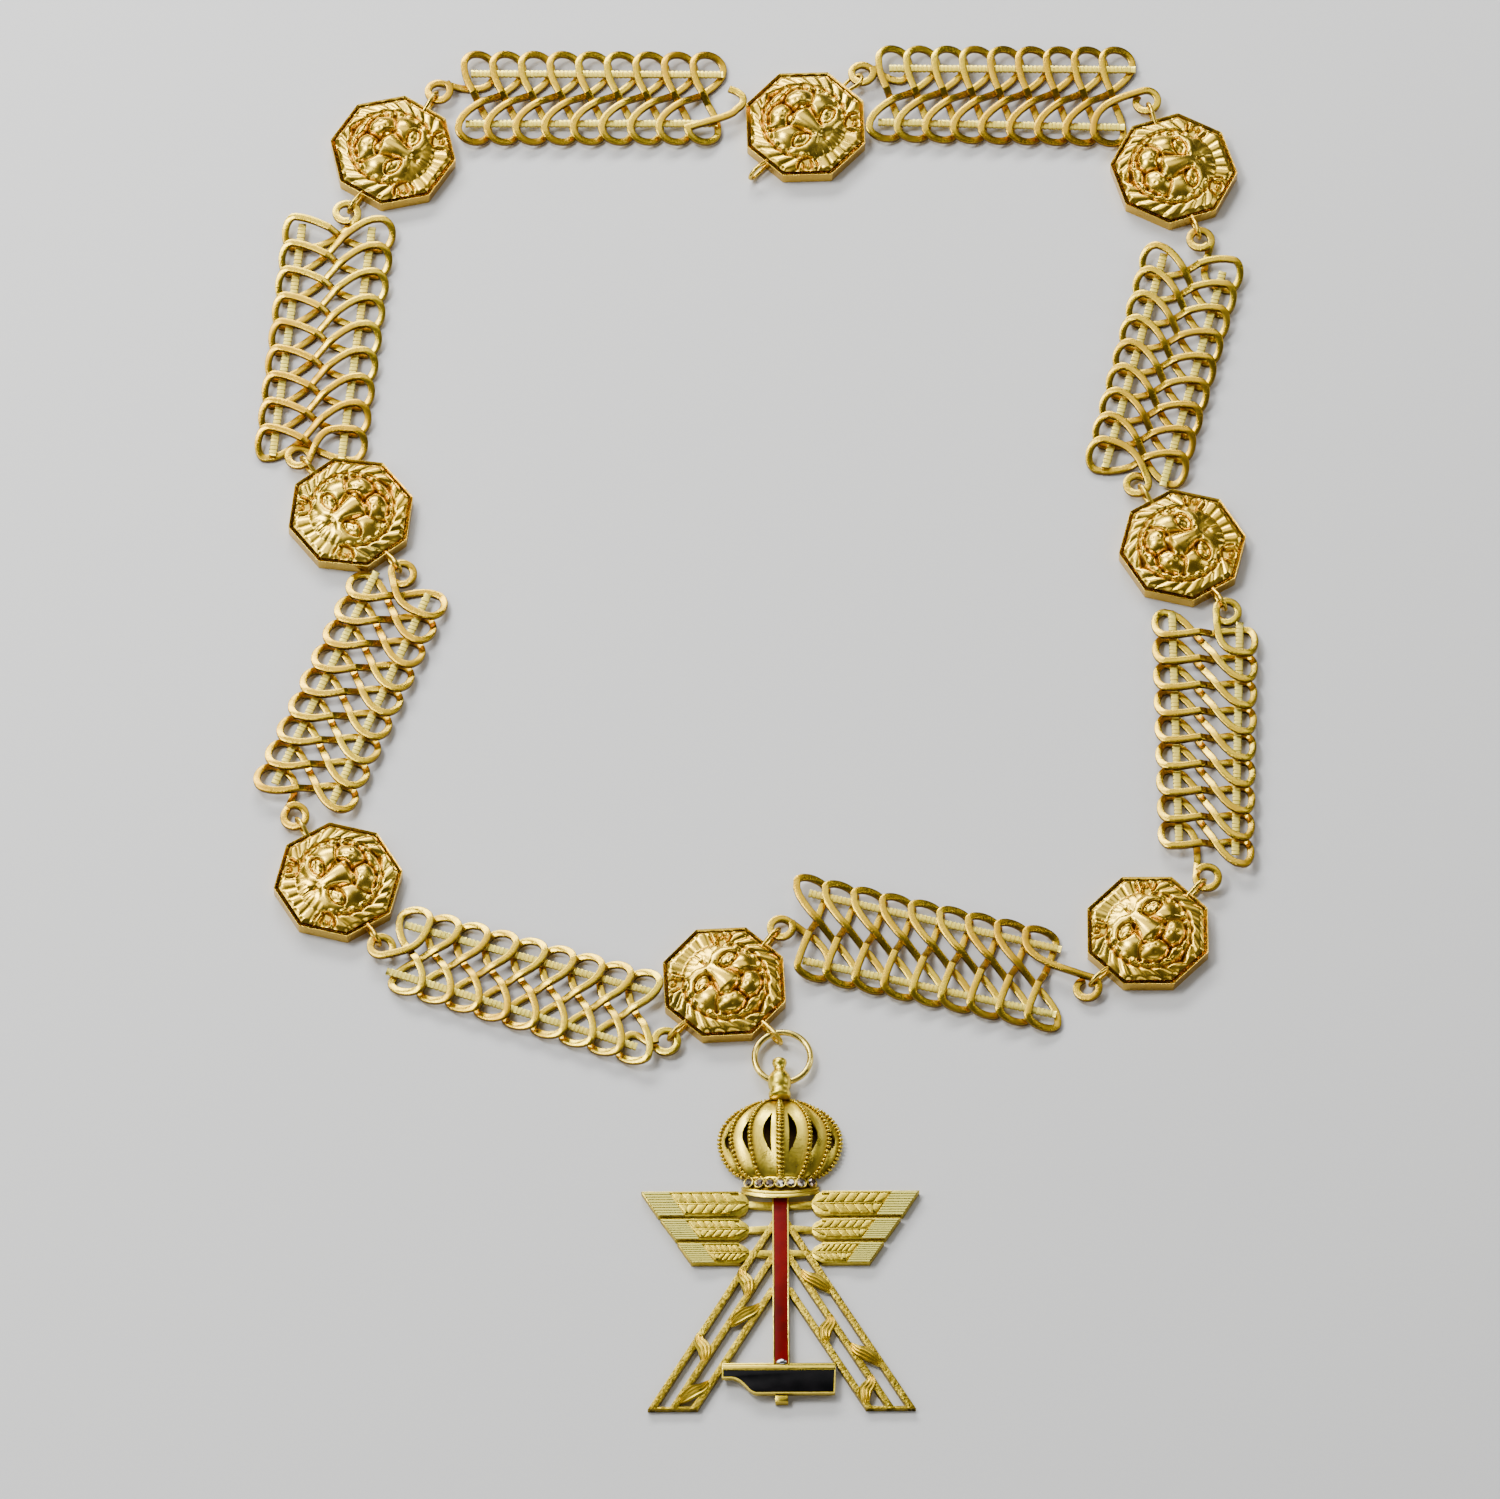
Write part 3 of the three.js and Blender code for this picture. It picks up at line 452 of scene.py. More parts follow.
def lion_relief():
    """The head as a fine sheet, raised by its heights and cut to the inside of the rim."""
    shape = bmesh.new()
    inner = CASE_FLATS / 2 - RIM_WIDTH + 0.05
    bmesh.ops.create_grid(shape, x_segments=RELIEF_CELLS, y_segments=RELIEF_CELLS, size=inner)
    for i in range(8):
        turn = math.radians(45 * i)
        way = Vector((math.cos(turn), math.sin(turn), 0))
        bmesh.ops.bisect_plane(shape, geom=shape.verts[:] + shape.edges[:] + shape.faces[:],
                               plane_co=way * inner, plane_no=way, clear_outer=True)
    x = np.array([vert.co.x for vert in shape.verts])
    y = np.array([vert.co.y for vert in shape.verts])
    heights = lion_heights(x, y)
    # Low places in the relief go into the hollow mask, which the gilding darkens as painted shade.
    around = sum(
        lion_heights(x + HOLLOW_REACH * math.cos(t), y + HOLLOW_REACH * math.sin(t))
        for t in np.arange(8) * math.pi / 4
    ) / 8
    hollow = np.clip((around - heights - HOLLOW_FROM) / HOLLOW_SPAN, 0, 1)
    layer = shape.verts.layers.float.new("hollow")
    for vert, height, low in zip(shape.verts, heights, hollow):
        vert.co.z = FLOOR_HEIGHT + height
        vert[layer] = low
    for _ in range(2):
        bmesh.ops.smooth_vert(shape, verts=shape.verts, factor=0.35, use_axis_x=False, use_axis_y=False,
                              use_axis_z=True)
    return shape


def eyelet_into(shape, direction, extra=0.0, lean=0.0):
    """A wire loop that stands on the wall of a case, or leans over."""
    points = [Vector((CASE_FLATS / 2 + out + (extra if out > 0 else 0), 0, high - EYELET_MIDDLE))
              for out, high in EYELET_PATH]
    turn = Matrix.Rotation(math.radians(direction), 3, "Z")
    tip = turn @ Matrix.Rotation(math.radians(lean), 3, "X")
    line = [tip @ p + Vector((0, 0, EYELET_MIDDLE)) for p in smooth_line(points, 6)]
    drawn(shape, line, circle_section(EYELET_WIRE), tip @ Vector((0, 1, 0)))


def added(shape, other):
    """Puts a copy of another shape's mesh into this one."""
    mesh = bpy.data.meshes.new("part")
    other.to_mesh(mesh)
    shape.from_mesh(mesh)
    bpy.data.meshes.remove(mesh)


case_shape = medallion_case()
relief_shape = lion_relief()
for number, (x, y, up) in enumerate(MEDALLIONS, 1):
    shape = bmesh.new()
    added(shape, case_shape)
    added(shape, relief_shape)
    eyelet_into(shape, 0)
    eyelet_into(shape, 180, lean=FREE_LEAN if number == FREE_EYELET else 0)
    if number == CHIN_EYELET[0]:
        eyelet_into(shape, *CHIN_EYELET[1:])
    place = (Matrix.Scale(MM, 4) @ Matrix.Translation(Vector((x, y, 0)) + ROW_SHIFT)
             @ Matrix.Rotation(math.radians(up - 90), 4, "Z"))
    bmesh.ops.transform(shape, matrix=place, verts=shape.verts)
    medallion = made(shape, f"lion_medallion_{number}", cast_gilt, sharp=60)
    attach(medallion, "root")
    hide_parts(f"medallion_{number}")
case_shape.free()
relief_shape.free()

# Eight woven panels. Flat gilt wire is bent by hand into nine loops on each side, each strand
# passing over and under its neighbours at the middle, and each end is curled round an eyelet.
WIRE_WIDTH = 2.15
WIRE_THICKNESS = 1.45
WIRE_ROUND = 0.24
WEAVE_MIDDLE = 2.3
WEAVE_DEPTH = 1.55
LOOPS = 9
LOOP_HALF_WIDTH = 4.65
LOOP_BASE = 2.3
LOOP_STEPS = 14
STRAND_STEPS = 12
CROSSING = 2.4
BEND_REACH = 9
BAR_IN_PITCHES = 8.8
RING_RADIUS = 3.35
RING_TURN = math.radians(330)
RING_RISE = 1.9
RING_STEPS = 30
RING_REACH = 7.6
TAIL_STEPS = 12
# middle, heading, half spacing of the bars at each end, pitch, place of the fifth loop on each
# side, rise of the loops on each side, shift of the bars, side of the first loop, eyelets
PANELS = [
    (-47.6, 223.9, -0.1, 8.8, 8.6, 8.75, (-0.2, -1.8), (8.0, 7.5), 0.8, "left", (1, 90), None),
    (78.5, 224.6, -0.9, 9.5, 10.2, 8.55, (-0.5, -3.1), (8.0, 6.8), 1.6, "left", (2, 90), (3, 90)),
    (125.5, 129.2, -104.2, 9.4, 9.2, 8.7, (-2.0, -1.4), (6.5, 7.0), 0.9, "left", (3, -90), (4, 90)),
    (137.0, 4.2, 89.6, 8.4, 10.2, 8.95, (1.5, -4.5), (6.4, 5.8), 1.6, "left", (5, -90), (4, -90)),
    (54.3, -70.5, -13.9, 11.2, 10.8, 8.8, (-5.0, 1.8), (6.0, 6.0), -1.8, "right", (6, -90), (5, 90)),
    (-68.1, -80.4, 162.1, 9.4, 8.2, 8.95, (-3.2, 1.0), (6.1, 7.0), 0.2, "left", (6, 90), (7, 90)),
    (-119.4, 19.3, 68.0, 9.2, 8.7, 8.85, (-1.8, -0.1), (7.0, 7.2), 0.6, "left", (7, -90), (8, 90)),
    (-129.8, 139.0, -95.9, 10.6, 10.4, 9.2, (-2.0, -0.1), (7.6, 6.0), -0.5, "right", (1, -90), (8, -90)),
]
HOOK = [(40.5, -6.6, 3.6), (43.6, -4.2, 3.4), (45.4, -2.0, 3.2), (45.4, 0.2, 3.1), (43.8, 2.0, 3.0),
        (41.2, 3.2, 3.0)]


def flat_section(width, thickness, corner):
    """A flat wire's section with rounded corners and a slightly hollow front."""
    w, t = width / 2, thickness / 2
    k = corner * 0.3
    return [
        (-w + corner, -t), (w - corner, -t), (w - k, -t + k), (w, -t + corner),
        (w, t - corner), (w - k, t - k), (w - corner, t), (0.0, t - 0.03),
        (-w + corner, t), (-w + k, t - k), (-w, t - corner), (-w, -t + corner), (-w + k, -t + k),
    ]


def eased(share):
    share = min(max(share, 0.0), 1.0)
    return share * share * (3 - 2 * share)


def curve_points(start, start_way, end, end_way, count):
    """Points of a bend that leaves and arrives along given directions, with both its ends."""
    a, d = Vector(start), Vector(end)
    b, c = a + BEND_REACH * Vector(start_way), d - BEND_REACH * Vector(end_way)
    line = []
    for i in range(count + 1):
        t = i / count
        line.append((1 - t) ** 3 * a + 3 * (1 - t) ** 2 * t * b + 3 * (1 - t) * t * t * c + t ** 3 * d)
    return line


def ring_place(panel, eyelet):
    """Middle of a tail ring in the panel's frame, and the way from it to the case wall."""
    x, y, up = MEDALLIONS[eyelet[0] - 1]
    way = math.radians(up + eyelet[1])
    reach = CASE_FLATS / 2 + RING_REACH
    world = Vector((x + reach * math.cos(way) - panel[0], y + reach * math.sin(way) - panel[1]))
    turn = math.radians(-panel[2])
    return Matrix.Rotation(turn, 2) @ world, way + turn + math.pi


def ring_points(middle, wall, start, end):
    wall_angle = start - (start - wall) % (2 * math.pi)
    line = []
    for i in range(RING_STEPS + 1):
        angle = start + (end - start) * i / RING_STEPS
        rise = RING_RISE * (angle - wall_angle) / RING_TURN
        line.append(Vector((middle.x + RING_RADIUS * math.cos(angle),
                            middle.y + RING_RADIUS * math.sin(angle), EYELET_MIDDLE + rise)))
    return line


def tail_bend(start, start_way, end, end_way, level_first):
    line = []
    flat = curve_points(start.xy, start_way, end.xy, end_way, TAIL_STEPS)
    for i, point in enumerate(flat[1:-1], 1):
        share = i / TAIL_STEPS
        ease = eased(4 * share - 3) if level_first else eased(4 * share)
        line.append(Vector((point.x, point.y, start.z + (end.z - start.z) * ease)))
    return line


def weave_points(panel):
    """The wire of one panel, from ring to ring, in the panel's frame."""
    _, _, _, near, far, pitch, middles, rises, _, first, start_eyelet, end_eyelet = panel

    def loop(side, k):
        sign = 1 if side == 0 else -1
        middle = middles[side] + (k - (LOOPS - 1) / 2) * pitch
        base = near + (far - near) * (middle / (BAR_IN_PITCHES * pitch) + 0.5) + LOOP_BASE
        rise = rises[side] - LOOP_BASE - WIRE_WIDTH / 2 - 0.04
        line = []
        for i in range(LOOP_STEPS + 1):
            turn = math.pi * i / LOOP_STEPS
            line.append(Vector((middle + LOOP_HALF_WIDTH * math.cos(turn),
                                sign * (base + rise * math.sin(turn)),
                                WEAVE_MIDDLE - WEAVE_DEPTH * math.cos(turn))))
        return line

    order = [0, 1] if first == "left" else [1, 0]
    loops = [loop(side, k) for k in range(LOOPS) for side in order]
    start = loops[0][0]
    middle, wall = ring_place(panel, start_eyelet)
    way = Vector((0, math.copysign(1, start.y)))
    to_aim = start.xy - BEND_REACH * way - middle
    leave = math.atan2(to_aim.y, to_aim.x) + math.acos(RING_RADIUS / to_aim.length)
    ring = ring_points(middle, wall, leave + RING_TURN, leave)
    leaving = Vector((math.sin(leave), -math.cos(leave)))
    points = ring + tail_bend(ring[-1], leaving, start, way, False) + loops[0]
    for arriving in loops[1:]:
        a, b = points[-1], arriving[0]
        sign = math.copysign(1, a.y)
        flat = curve_points(a.xy, (0, -sign), b.xy, (0, -sign), STRAND_STEPS)
        for point in flat[1:-1]:
            dip = eased((CROSSING - sign * point.y) / (2 * CROSSING))
            points.append(Vector((point.x, point.y, WEAVE_MIDDLE + WEAVE_DEPTH * (1 - 2 * dip))))
        points += arriving
    last = points[-1]
    inward = Vector((0, -math.copysign(1, last.y)))
    if end_eyelet is None:
        return points + smooth_line([last, *HOOK], 6)[1:]
    middle, wall = ring_place(panel, end_eyelet)
    to_aim = last.xy + BEND_REACH * inward - middle
    enter = math.atan2(to_aim.y, to_aim.x) - math.acos(RING_RADIUS / to_aim.length)
    ring = ring_points(middle, wall, enter, enter - RING_TURN)
    entering = Vector((math.sin(enter), -math.cos(enter)))
    return points + tail_bend(last, inward, ring[0], entering, True) + ring


def panel_place(panel):
    return (Matrix.Scale(MM, 4) @ Matrix.Translation(Vector((panel[0], panel[1], 0)) + ROW_SHIFT)
            @ Matrix.Rotation(math.radians(panel[2]), 4, "Z"))


def wire_gilding():
    """Drawn and polished wire: fine lines along its length, and painted shade that darkens its sides."""
    gold = Finish("drawn gilt wire")
    cloud = gold.spread(gold.noise(16.0, 2.0), 0.38, 0.62)
    patch = gold.spread(gold.noise(120.0, 3.0), 0.42, 0.68)
    speck = gold.noise(1800.0, 3.0)
    tone = gold.mixed(cloud, (0.84, 0.60, 0.04), (0.72, 0.43, 0.018))
    tone = gold.mixed(patch * 0.55, tone, (0.48, 0.25, 0.012))
    # Faces that turn sideways take a dark brown: painted shade on the wire's sides.
    edge = (gold.kept("edge") + (speck - 0.5) * 0.5).clamped()
    tone = gold.mixed(gold.spread(edge, 0.12, 0.7) * 0.92, tone, (0.11, 0.05, 0.003))
    streak = gold.noise(1.0, 2.0, at=gold.node("ShaderNodeCombineXYZ", {0: gold.kept("along") * 40.0}))
    rough = gold.spread(patch, 0.0, 1.0, 0.21, 0.33)
    return gold.surface(
        Base_Color=tone,
        Metallic=1.0,
        Roughness=rough,
        Normal=gold.bump(streak * 0.05 + speck * 0.05, 0.001, 0.4),
    )


wire_gilt = wire_gilding()
for number, panel in enumerate(PANELS, 1):
    shape = bmesh.new()
    side_shade_layer = shape.verts.layers.float.new("edge")
    section = flat_section(WIRE_WIDTH, WIRE_THICKNESS, WIRE_ROUND)
    drawn(shape, weave_points(panel), section, (0, 0, 1))
    bmesh.ops.recalc_face_normals(shape, faces=shape.faces)
    shape.normal_update()
    # How far each point faces sideways, kept for the painted shade on the wire's sides.
    for vert in shape.verts:
        vert[side_shade_layer] = 1 - abs(vert.normal.z)
    bmesh.ops.transform(shape, matrix=panel_place(panel), verts=shape.verts)
    weave = made(shape, f"woven_wire_{number}", wire_gilt, sharp=27)
    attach(weave, "root")
    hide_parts(f"weave_{number}")

# Two flat bars run through the loops of each panel. They are rolled with fine notches across
# their length, which catch the light, and they keep the loops in line.
BAR_WIDTH = 2.4
BAR_THICKNESS = 0.95
NOTCH_PITCH = 1.3
NOTCH = [(0.0, 1.0), (0.60, 1.0), (0.72, 0.70), (0.88, 0.70)]

bar_gilt = gilding(
    "notched bar gilding", (0.96, 0.80, 0.14), (0.92, 0.66, 0.07), (0.22, 0.10, 0.01), 0.30, 0.08,
)
for number, panel in enumerate(PANELS, 1):
    near, far, pitch, shift = panel[3], panel[4], panel[5], panel[8]
    length = BAR_IN_PITCHES * pitch
    for name, sign in (("left", 1), ("right", -1)):
        shape = bmesh.new()
        stations = []
        for i in range(int(length / NOTCH_PITCH)):
            stations += [((i + along) * NOTCH_PITCH - length / 2, size) for along, size in NOTCH]
        stations.append((length / 2, 1.0))
        points = [Vector((along, 0, 0)) for along, _ in stations]
        swells = [(0.5 + 0.5 * size, size) for _, size in stations]
        section = flat_section(BAR_WIDTH, BAR_THICKNESS, 0.2)
        drawn(shape, points, section, (0, 0, 1), swells)
        bmesh.ops.recalc_face_normals(shape, faces=shape.faces)
        place = (panel_place(panel)
                 @ Matrix.Translation((sign * shift, sign * (near + far) / 2, WEAVE_MIDDLE))
                 @ Matrix.Rotation(math.atan2(sign * (far - near), length), 4, "Z"))
        bmesh.ops.transform(shape, matrix=place, verts=shape.verts)
        bar = made(shape, f"notched_bar_{number}_{name}", bar_gilt, sharp=30)
        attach(bar, "root")
        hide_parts(f"bar_{number}_{name}")

# The ring that hangs the pendant: round gilt wire, soldered shut, through the chin eyelet and the
# bored ball over the crown.
PENDANT_PLACE = (Matrix.Scale(MM, 4) @ Matrix.Translation(Vector((8.97, -149.0, 0)) + ROW_SHIFT)
                 @ Matrix.Rotation(math.radians(0.3), 4, "Z"))
LINK_MIDDLE = Vector((0.9, 43.9, 2.75))
LINK_RADIUS = 8.3
LINK_WIRE = 0.95

ring_gilt = gilding(
    "round wire gilding", (1.0, 0.78, 0.16), (0.92, 0.58, 0.08), (0.26, 0.12, 0.02), 0.25, 0.05,
)
shape = bmesh.new()
bmesh.ops.create_circle(shape, segments=14, radius=LINK_WIRE)
bmesh.ops.rotate(shape, verts=shape.verts, matrix=Matrix.Rotation(math.pi / 2, 3, "X"))
bmesh.ops.translate(shape, verts=shape.verts, vec=(LINK_RADIUS, 0, 0))
bmesh.ops.spin(shape, geom=shape.verts[:] + shape.edges[:], cent=(0, 0, 0), axis=(0, 0, 1),
               angle=2 * math.pi, steps=72, use_merge=True)
bmesh.ops.recalc_face_normals(shape, faces=shape.faces)
bmesh.ops.translate(shape, verts=shape.verts, vec=LINK_MIDDLE)
bmesh.ops.transform(shape, matrix=PENDANT_PLACE, verts=shape.verts)
ring = made(shape, "hanging_ring", ring_gilt)
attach(ring, "root")
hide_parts("pendant_ring")

# The crown: a hollow half dome, pressed from sheet, with seven beaded ribs, smooth troughs between
# them and a curved slot beside each rib. It stands on a band of set stones and an oval flange.
DOME = [(4.6, 10.6), (7.0, 14.6), (11.0, 17.4), (16.5, 18.5), (22.0, 16.8), (26.6, 12.6), (29.8, 6.6),
        (30.9, 0.6)]
DOME_SQUEEZE = 0.42
DOME_STEPS = 120
SLOT_SNAP = 1.2
DOME_WALL = 0.6
RIBS = [0, 29, 52, 77]
RIB_BEHIND = 103
FLUTE_DEPTH = 1.5
SLOTS = [(9.0, 8.5, 17.6, 6.8), (33.0, 8.5, 17.0, 6.2), (56.0, 15.0, 16.2, 5.4)]
RIB_SHADE = 1.5
FRONT_DROP = 0.53
DROP_FROM, DROP_UP_TO = 4.6, 15.0
LOWEST = 0.02


def gold_of_pendant(name, roughness, grain, speckle=0.0, hollow=None):
    return gilding(name, (0.96, 0.75, 0.085), (0.78, 0.53, 0.035), (0.17, 0.09, 0.006), roughness, grain,
                   hollow=hollow, speckle=speckle)


def turned(profile, steps, angle=math.pi):
    """A shape turned round the long axis from points of height and radius, the front half first."""
    shape = bmesh.new()
    verts = [shape.verts.new((-r, y, 0)) for y, r in profile]
    edges = [shape.edges.new(pair) for pair in zip(verts, verts[1:])]
    bmesh.ops.spin(shape, geom=verts + edges, cent=(0, 0, 0), axis=(0, 1, 0), angle=angle, steps=steps,
                   use_merge=angle > 6)
    return shape


def rib_share(angle):
    """How far a place on the dome is from a rib, 0 on the rib and 1 in the middle of the trough."""
    angle = min(abs(angle), 90)
    for low, high in zip(RIBS, [*RIBS[1:], RIB_BEHIND]):
        if low <= angle <= high:
            return math.sin(math.pi * (angle - low) / (high - low))
    return 0


def dropped(place):
    """The foot of the crown hangs lower at its front, so that it looks level from above."""
    share = min(max((DROP_UP_TO - place.y) / (DROP_UP_TO - DROP_FROM), 0), 1)
    return Vector((place.x, place.y - FRONT_DROP * place.z * share * share, place.z))


pendant_gilt = gold_of_pendant("matted gilding of the crown", 0.30, 0.16)
dome_gilt = gold_of_pendant("gilding of the dome", 0.30, 0.16, hollow="hollow")
profile = [(p.x, p.y) for p in smooth_line([(a, b, 0) for a, b in DOME], 8)]
shape = turned(profile, DOME_STEPS)
bmesh.ops.remove_doubles(shape, verts=shape.verts, dist=0.0005)
for vert in shape.verts:
    vert.co.z = abs(vert.co.z)


def dome_angle(place):
    """Angle round the dome from its front, in degrees."""
    return math.degrees(math.atan2(abs(place.x), place.z))


def slot_edges(y):
    """Angles of both edges of each slot that is open at this height."""
    found = []
    for start, wide, middle, half in SLOTS:
        t = (y - middle) / half
        if abs(t) < 1:
            found.append((start, start + wide * (1 - t * t)))
    return found


inside = []
for face in shape.faces:
    middle = face.calc_center_median()
    if any(low < dome_angle(middle) < high for low, high in slot_edges(middle.y)):
        inside.append(face)
bmesh.ops.delete(shape, geom=inside, context="FACES")
hollow_layer = shape.verts.layers.float.new("hollow")
for vert in shape.verts:
    radius = math.hypot(vert.co.x, vert.co.z)
    angle = dome_angle(vert.co)
    off_rib = min(abs(angle - rib) for rib in RIBS) * math.pi / 180 * radius
    # Painted shade darkens the dome along each rib, beside the beads.
    vert[hollow_layer] = 0.75 * math.exp(-((off_rib / RIB_SHADE) ** 4))
    if vert.is_boundary and angle < 85:
        for edge in (edge for pair in slot_edges(vert.co.y) for edge in pair):
            if abs(edge - angle) < SLOT_SNAP:
                angle = edge
                break
    depth = FLUTE_DEPTH * rib_share(angle) ** 0.7 * min(1, radius / 12)
    sign = math.copysign(1, vert.co.x)
    vert.co.x = sign * (radius - depth) * math.sin(math.radians(angle))
    vert.co.z = (radius - depth) * math.cos(math.radians(angle)) * DOME_SQUEEZE
    vert.co = dropped(vert.co)
bmesh.ops.recalc_face_normals(shape, faces=shape.faces)
if sum(face.normal.z * face.calc_area() for face in shape.faces) < 0:
    bmesh.ops.reverse_faces(shape, faces=shape.faces)
bmesh.ops.solidify(shape, geom=shape.faces[:], thickness=DOME_WALL)
for vert in shape.verts:
    vert.co.z = max(vert.co.z, LOWEST)
bmesh.ops.transform(shape, matrix=PENDANT_PLACE, verts=shape.verts)
dome = made(shape, "crown_dome", dome_gilt, sharp=50)
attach(dome, "root")
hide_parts("pendant_body")

# A thin dark sheet closes the crown behind; its colour is painted shade, so that it is dark inside the slots.
# It is cut to the dome's outline, a little smaller, and soldered in.
BACK_FROM = 1
BACK_INSET = 0.5
BACK_FOOT = 0.1
BACK_THICKNESS = 0.4

shape = bmesh.new()
sheet_line = [p for p in smooth_line([(a, b, 0) for a, b in DOME], 5) if p.y > BACK_FROM]
right_side = [shape.verts.new((p.y - BACK_INSET, p.x, BACK_FOOT)) for p in sheet_line]
left_side = [shape.verts.new((-(p.y - BACK_INSET), p.x, BACK_FOOT)) for p in reversed(sheet_line)]
shape.faces.new(right_side + left_side)
bmesh.ops.recalc_face_normals(shape, faces=shape.faces)
grown = bmesh.ops.extrude_face_region(shape, geom=shape.faces[:])["geom"]
bmesh.ops.translate(shape, verts=[v for v in grown if isinstance(v, bmesh.types.BMVert)],
                    vec=(0, 0, BACK_THICKNESS))
bmesh.ops.recalc_face_normals(shape, faces=shape.faces)
bmesh.ops.transform(shape, matrix=PENDANT_PLACE, verts=shape.verts)
# Dark colours of the sheet: painted shade inside the crown.
painted_shade = gilding(
    "tarnish inside the crown", (0.20, 0.12, 0.04), (0.10, 0.05, 0.02), (0.03, 0.02, 0.01), 0.6, 0.2,
)
back = made(shape, "crown_back", painted_shade)
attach(back, "root")
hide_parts("pendant_body")

# Beads along the ribs, raised on the dome: broad bars on the middle rib, round grains on the rest.
# They run from the neck of the dome down to the stones and shrink towards the neck.
BEAD_PITCH = 1.3
BEAD_FROM_RADIUS = 3
BEAD_FROM_HEIGHT = 5.2
BEAD_FULL_RADIUS = 15
BEAD_HALF_WIDTH = 0.78
BAR_BEAD_HALF_WIDTH = 1.35
BEAD_HALF_LENGTH, BEAD_HALF_HEIGHT = 0.46, 0.75
BEAD_RISE = 0.1

bead_gilt = gold_of_pendant("burnished gilding of the beads", 0.20, 0.08)
beads = bmesh.new()
for sign in (1, -1):
    for k, angle in enumerate(RIBS):
        if k == 0 and sign < 0:
            continue
        turn = math.radians(angle)
        line = smooth_line([(a, b, 0) for a, b in DOME], 24)
        gone = 0.0
        for a, b in zip(line, line[1:]):
            gone += (b - a).length
            if gone < BEAD_PITCH:
                continue
            gone -= BEAD_PITCH
            y, r = b.x, b.y
            if r < BEAD_FROM_RADIUS or y < BEAD_FROM_HEIGHT:
                continue
            at = dropped(Vector((sign * r * math.sin(turn), y, r * math.cos(turn) * DOME_SQUEEZE)))
            place = Matrix.Translation(at + Vector((0, 0, BEAD_RISE)))
            wide = (BAR_BEAD_HALF_WIDTH if k == 0 else BEAD_HALF_WIDTH) * min(1, r / BEAD_FULL_RADIUS)
            size = Matrix.Diagonal((wide, BEAD_HALF_LENGTH, BEAD_HALF_HEIGHT, 1))
            bmesh.ops.create_uvsphere(beads, u_segments=10, v_segments=6, radius=1, matrix=place @ size)
for vert in beads.verts:
    vert.co.z = max(vert.co.z, LOWEST)
bmesh.ops.transform(beads, matrix=PENDANT_PLACE, verts=beads.verts)
bead_piece = made(beads, "crown_beads", bead_gilt)
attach(bead_piece, "root")
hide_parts("pendant_body")

# The band that carries the stones, and the oval flange under it, whose front edge sags. Both are
# turned in one piece, with a groove round the band that the stones sit in.
BAND = [(5.8, 0.0), (5.8, 10.4), (5.3, 10.8), (5.2, 10.3), (2.4, 10.3), (2.35, 11.3), (2.1, 11.6),
        (1.6, 11.6), (1.35, 11.15), (1.1, 11.6), (0.5, 11.9), (0.1, 11.7), (0.0, 10.6), (0.0, 0.0)]
BAND_SQUEEZE = 0.44
FLANGE_FROM = 2.5
GROOVE_RADIUS = 10.3
FLANGE_SAG = 1.3

shape = turned(BAND, 64)
hollow_layer = shape.verts.layers.float.new("hollow")
for vert in shape.verts:
    # The groove line is darkened with painted shade.
    vert[hollow_layer] = float(abs(math.hypot(vert.co.x, vert.co.z) - GROOVE_RADIUS) < 0.05)
    share = 1 - (vert.co.x / max(math.hypot(vert.co.x, vert.co.z), 0.001)) ** 2
    vert.co.z = abs(vert.co.z) * BAND_SQUEEZE
    sag = FLANGE_SAG * share if vert.co.y < FLANGE_FROM else 0
    vert.co.y -= FRONT_DROP * vert.co.z + sag
bmesh.ops.remove_doubles(shape, verts=shape.verts, dist=0.001)
bmesh.ops.recalc_face_normals(shape, faces=shape.faces)
bmesh.ops.transform(shape, matrix=PENDANT_PLACE, verts=shape.verts)
band = made(shape, "crown_band", dome_gilt, sharp=35)
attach(band, "root")
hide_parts("pendant_body")

# Seven round paste stones, cut with eight facets and a table, each in a thin collar. Their colour mixes pale
# flecks, painted glints off the facets, with dark ones, and some stones have gone dark.
STONE_STEP = 3.15
STONE_Y = 3.85
STONE_RADIUS = 1.42
BAND_GROOVE = 10.2
PAVILION = 0.7
GAP = 0.3
COLLAR_WIRE = 0.17
COLLAR_GAP = 0.12
DARK_STONES = (3, 7)


def paste(name, light, dark):
    glass = Finish(name)
    # Pale flecks in the colour are painted glints.
    glint_fleck = glass.spread(glass.noise(1100.0, 2.0), 0.44, 0.54)
    return glass.surface(
        Base_Color=glass.mixed(glint_fleck, light, dark),
        Metallic=0.85,
        Roughness=glass.spread(glint_fleck, 0, 1, 0.04, 0.16),
        Coat_Weight=1.0,
        Coat_Roughness=0.02,
    )


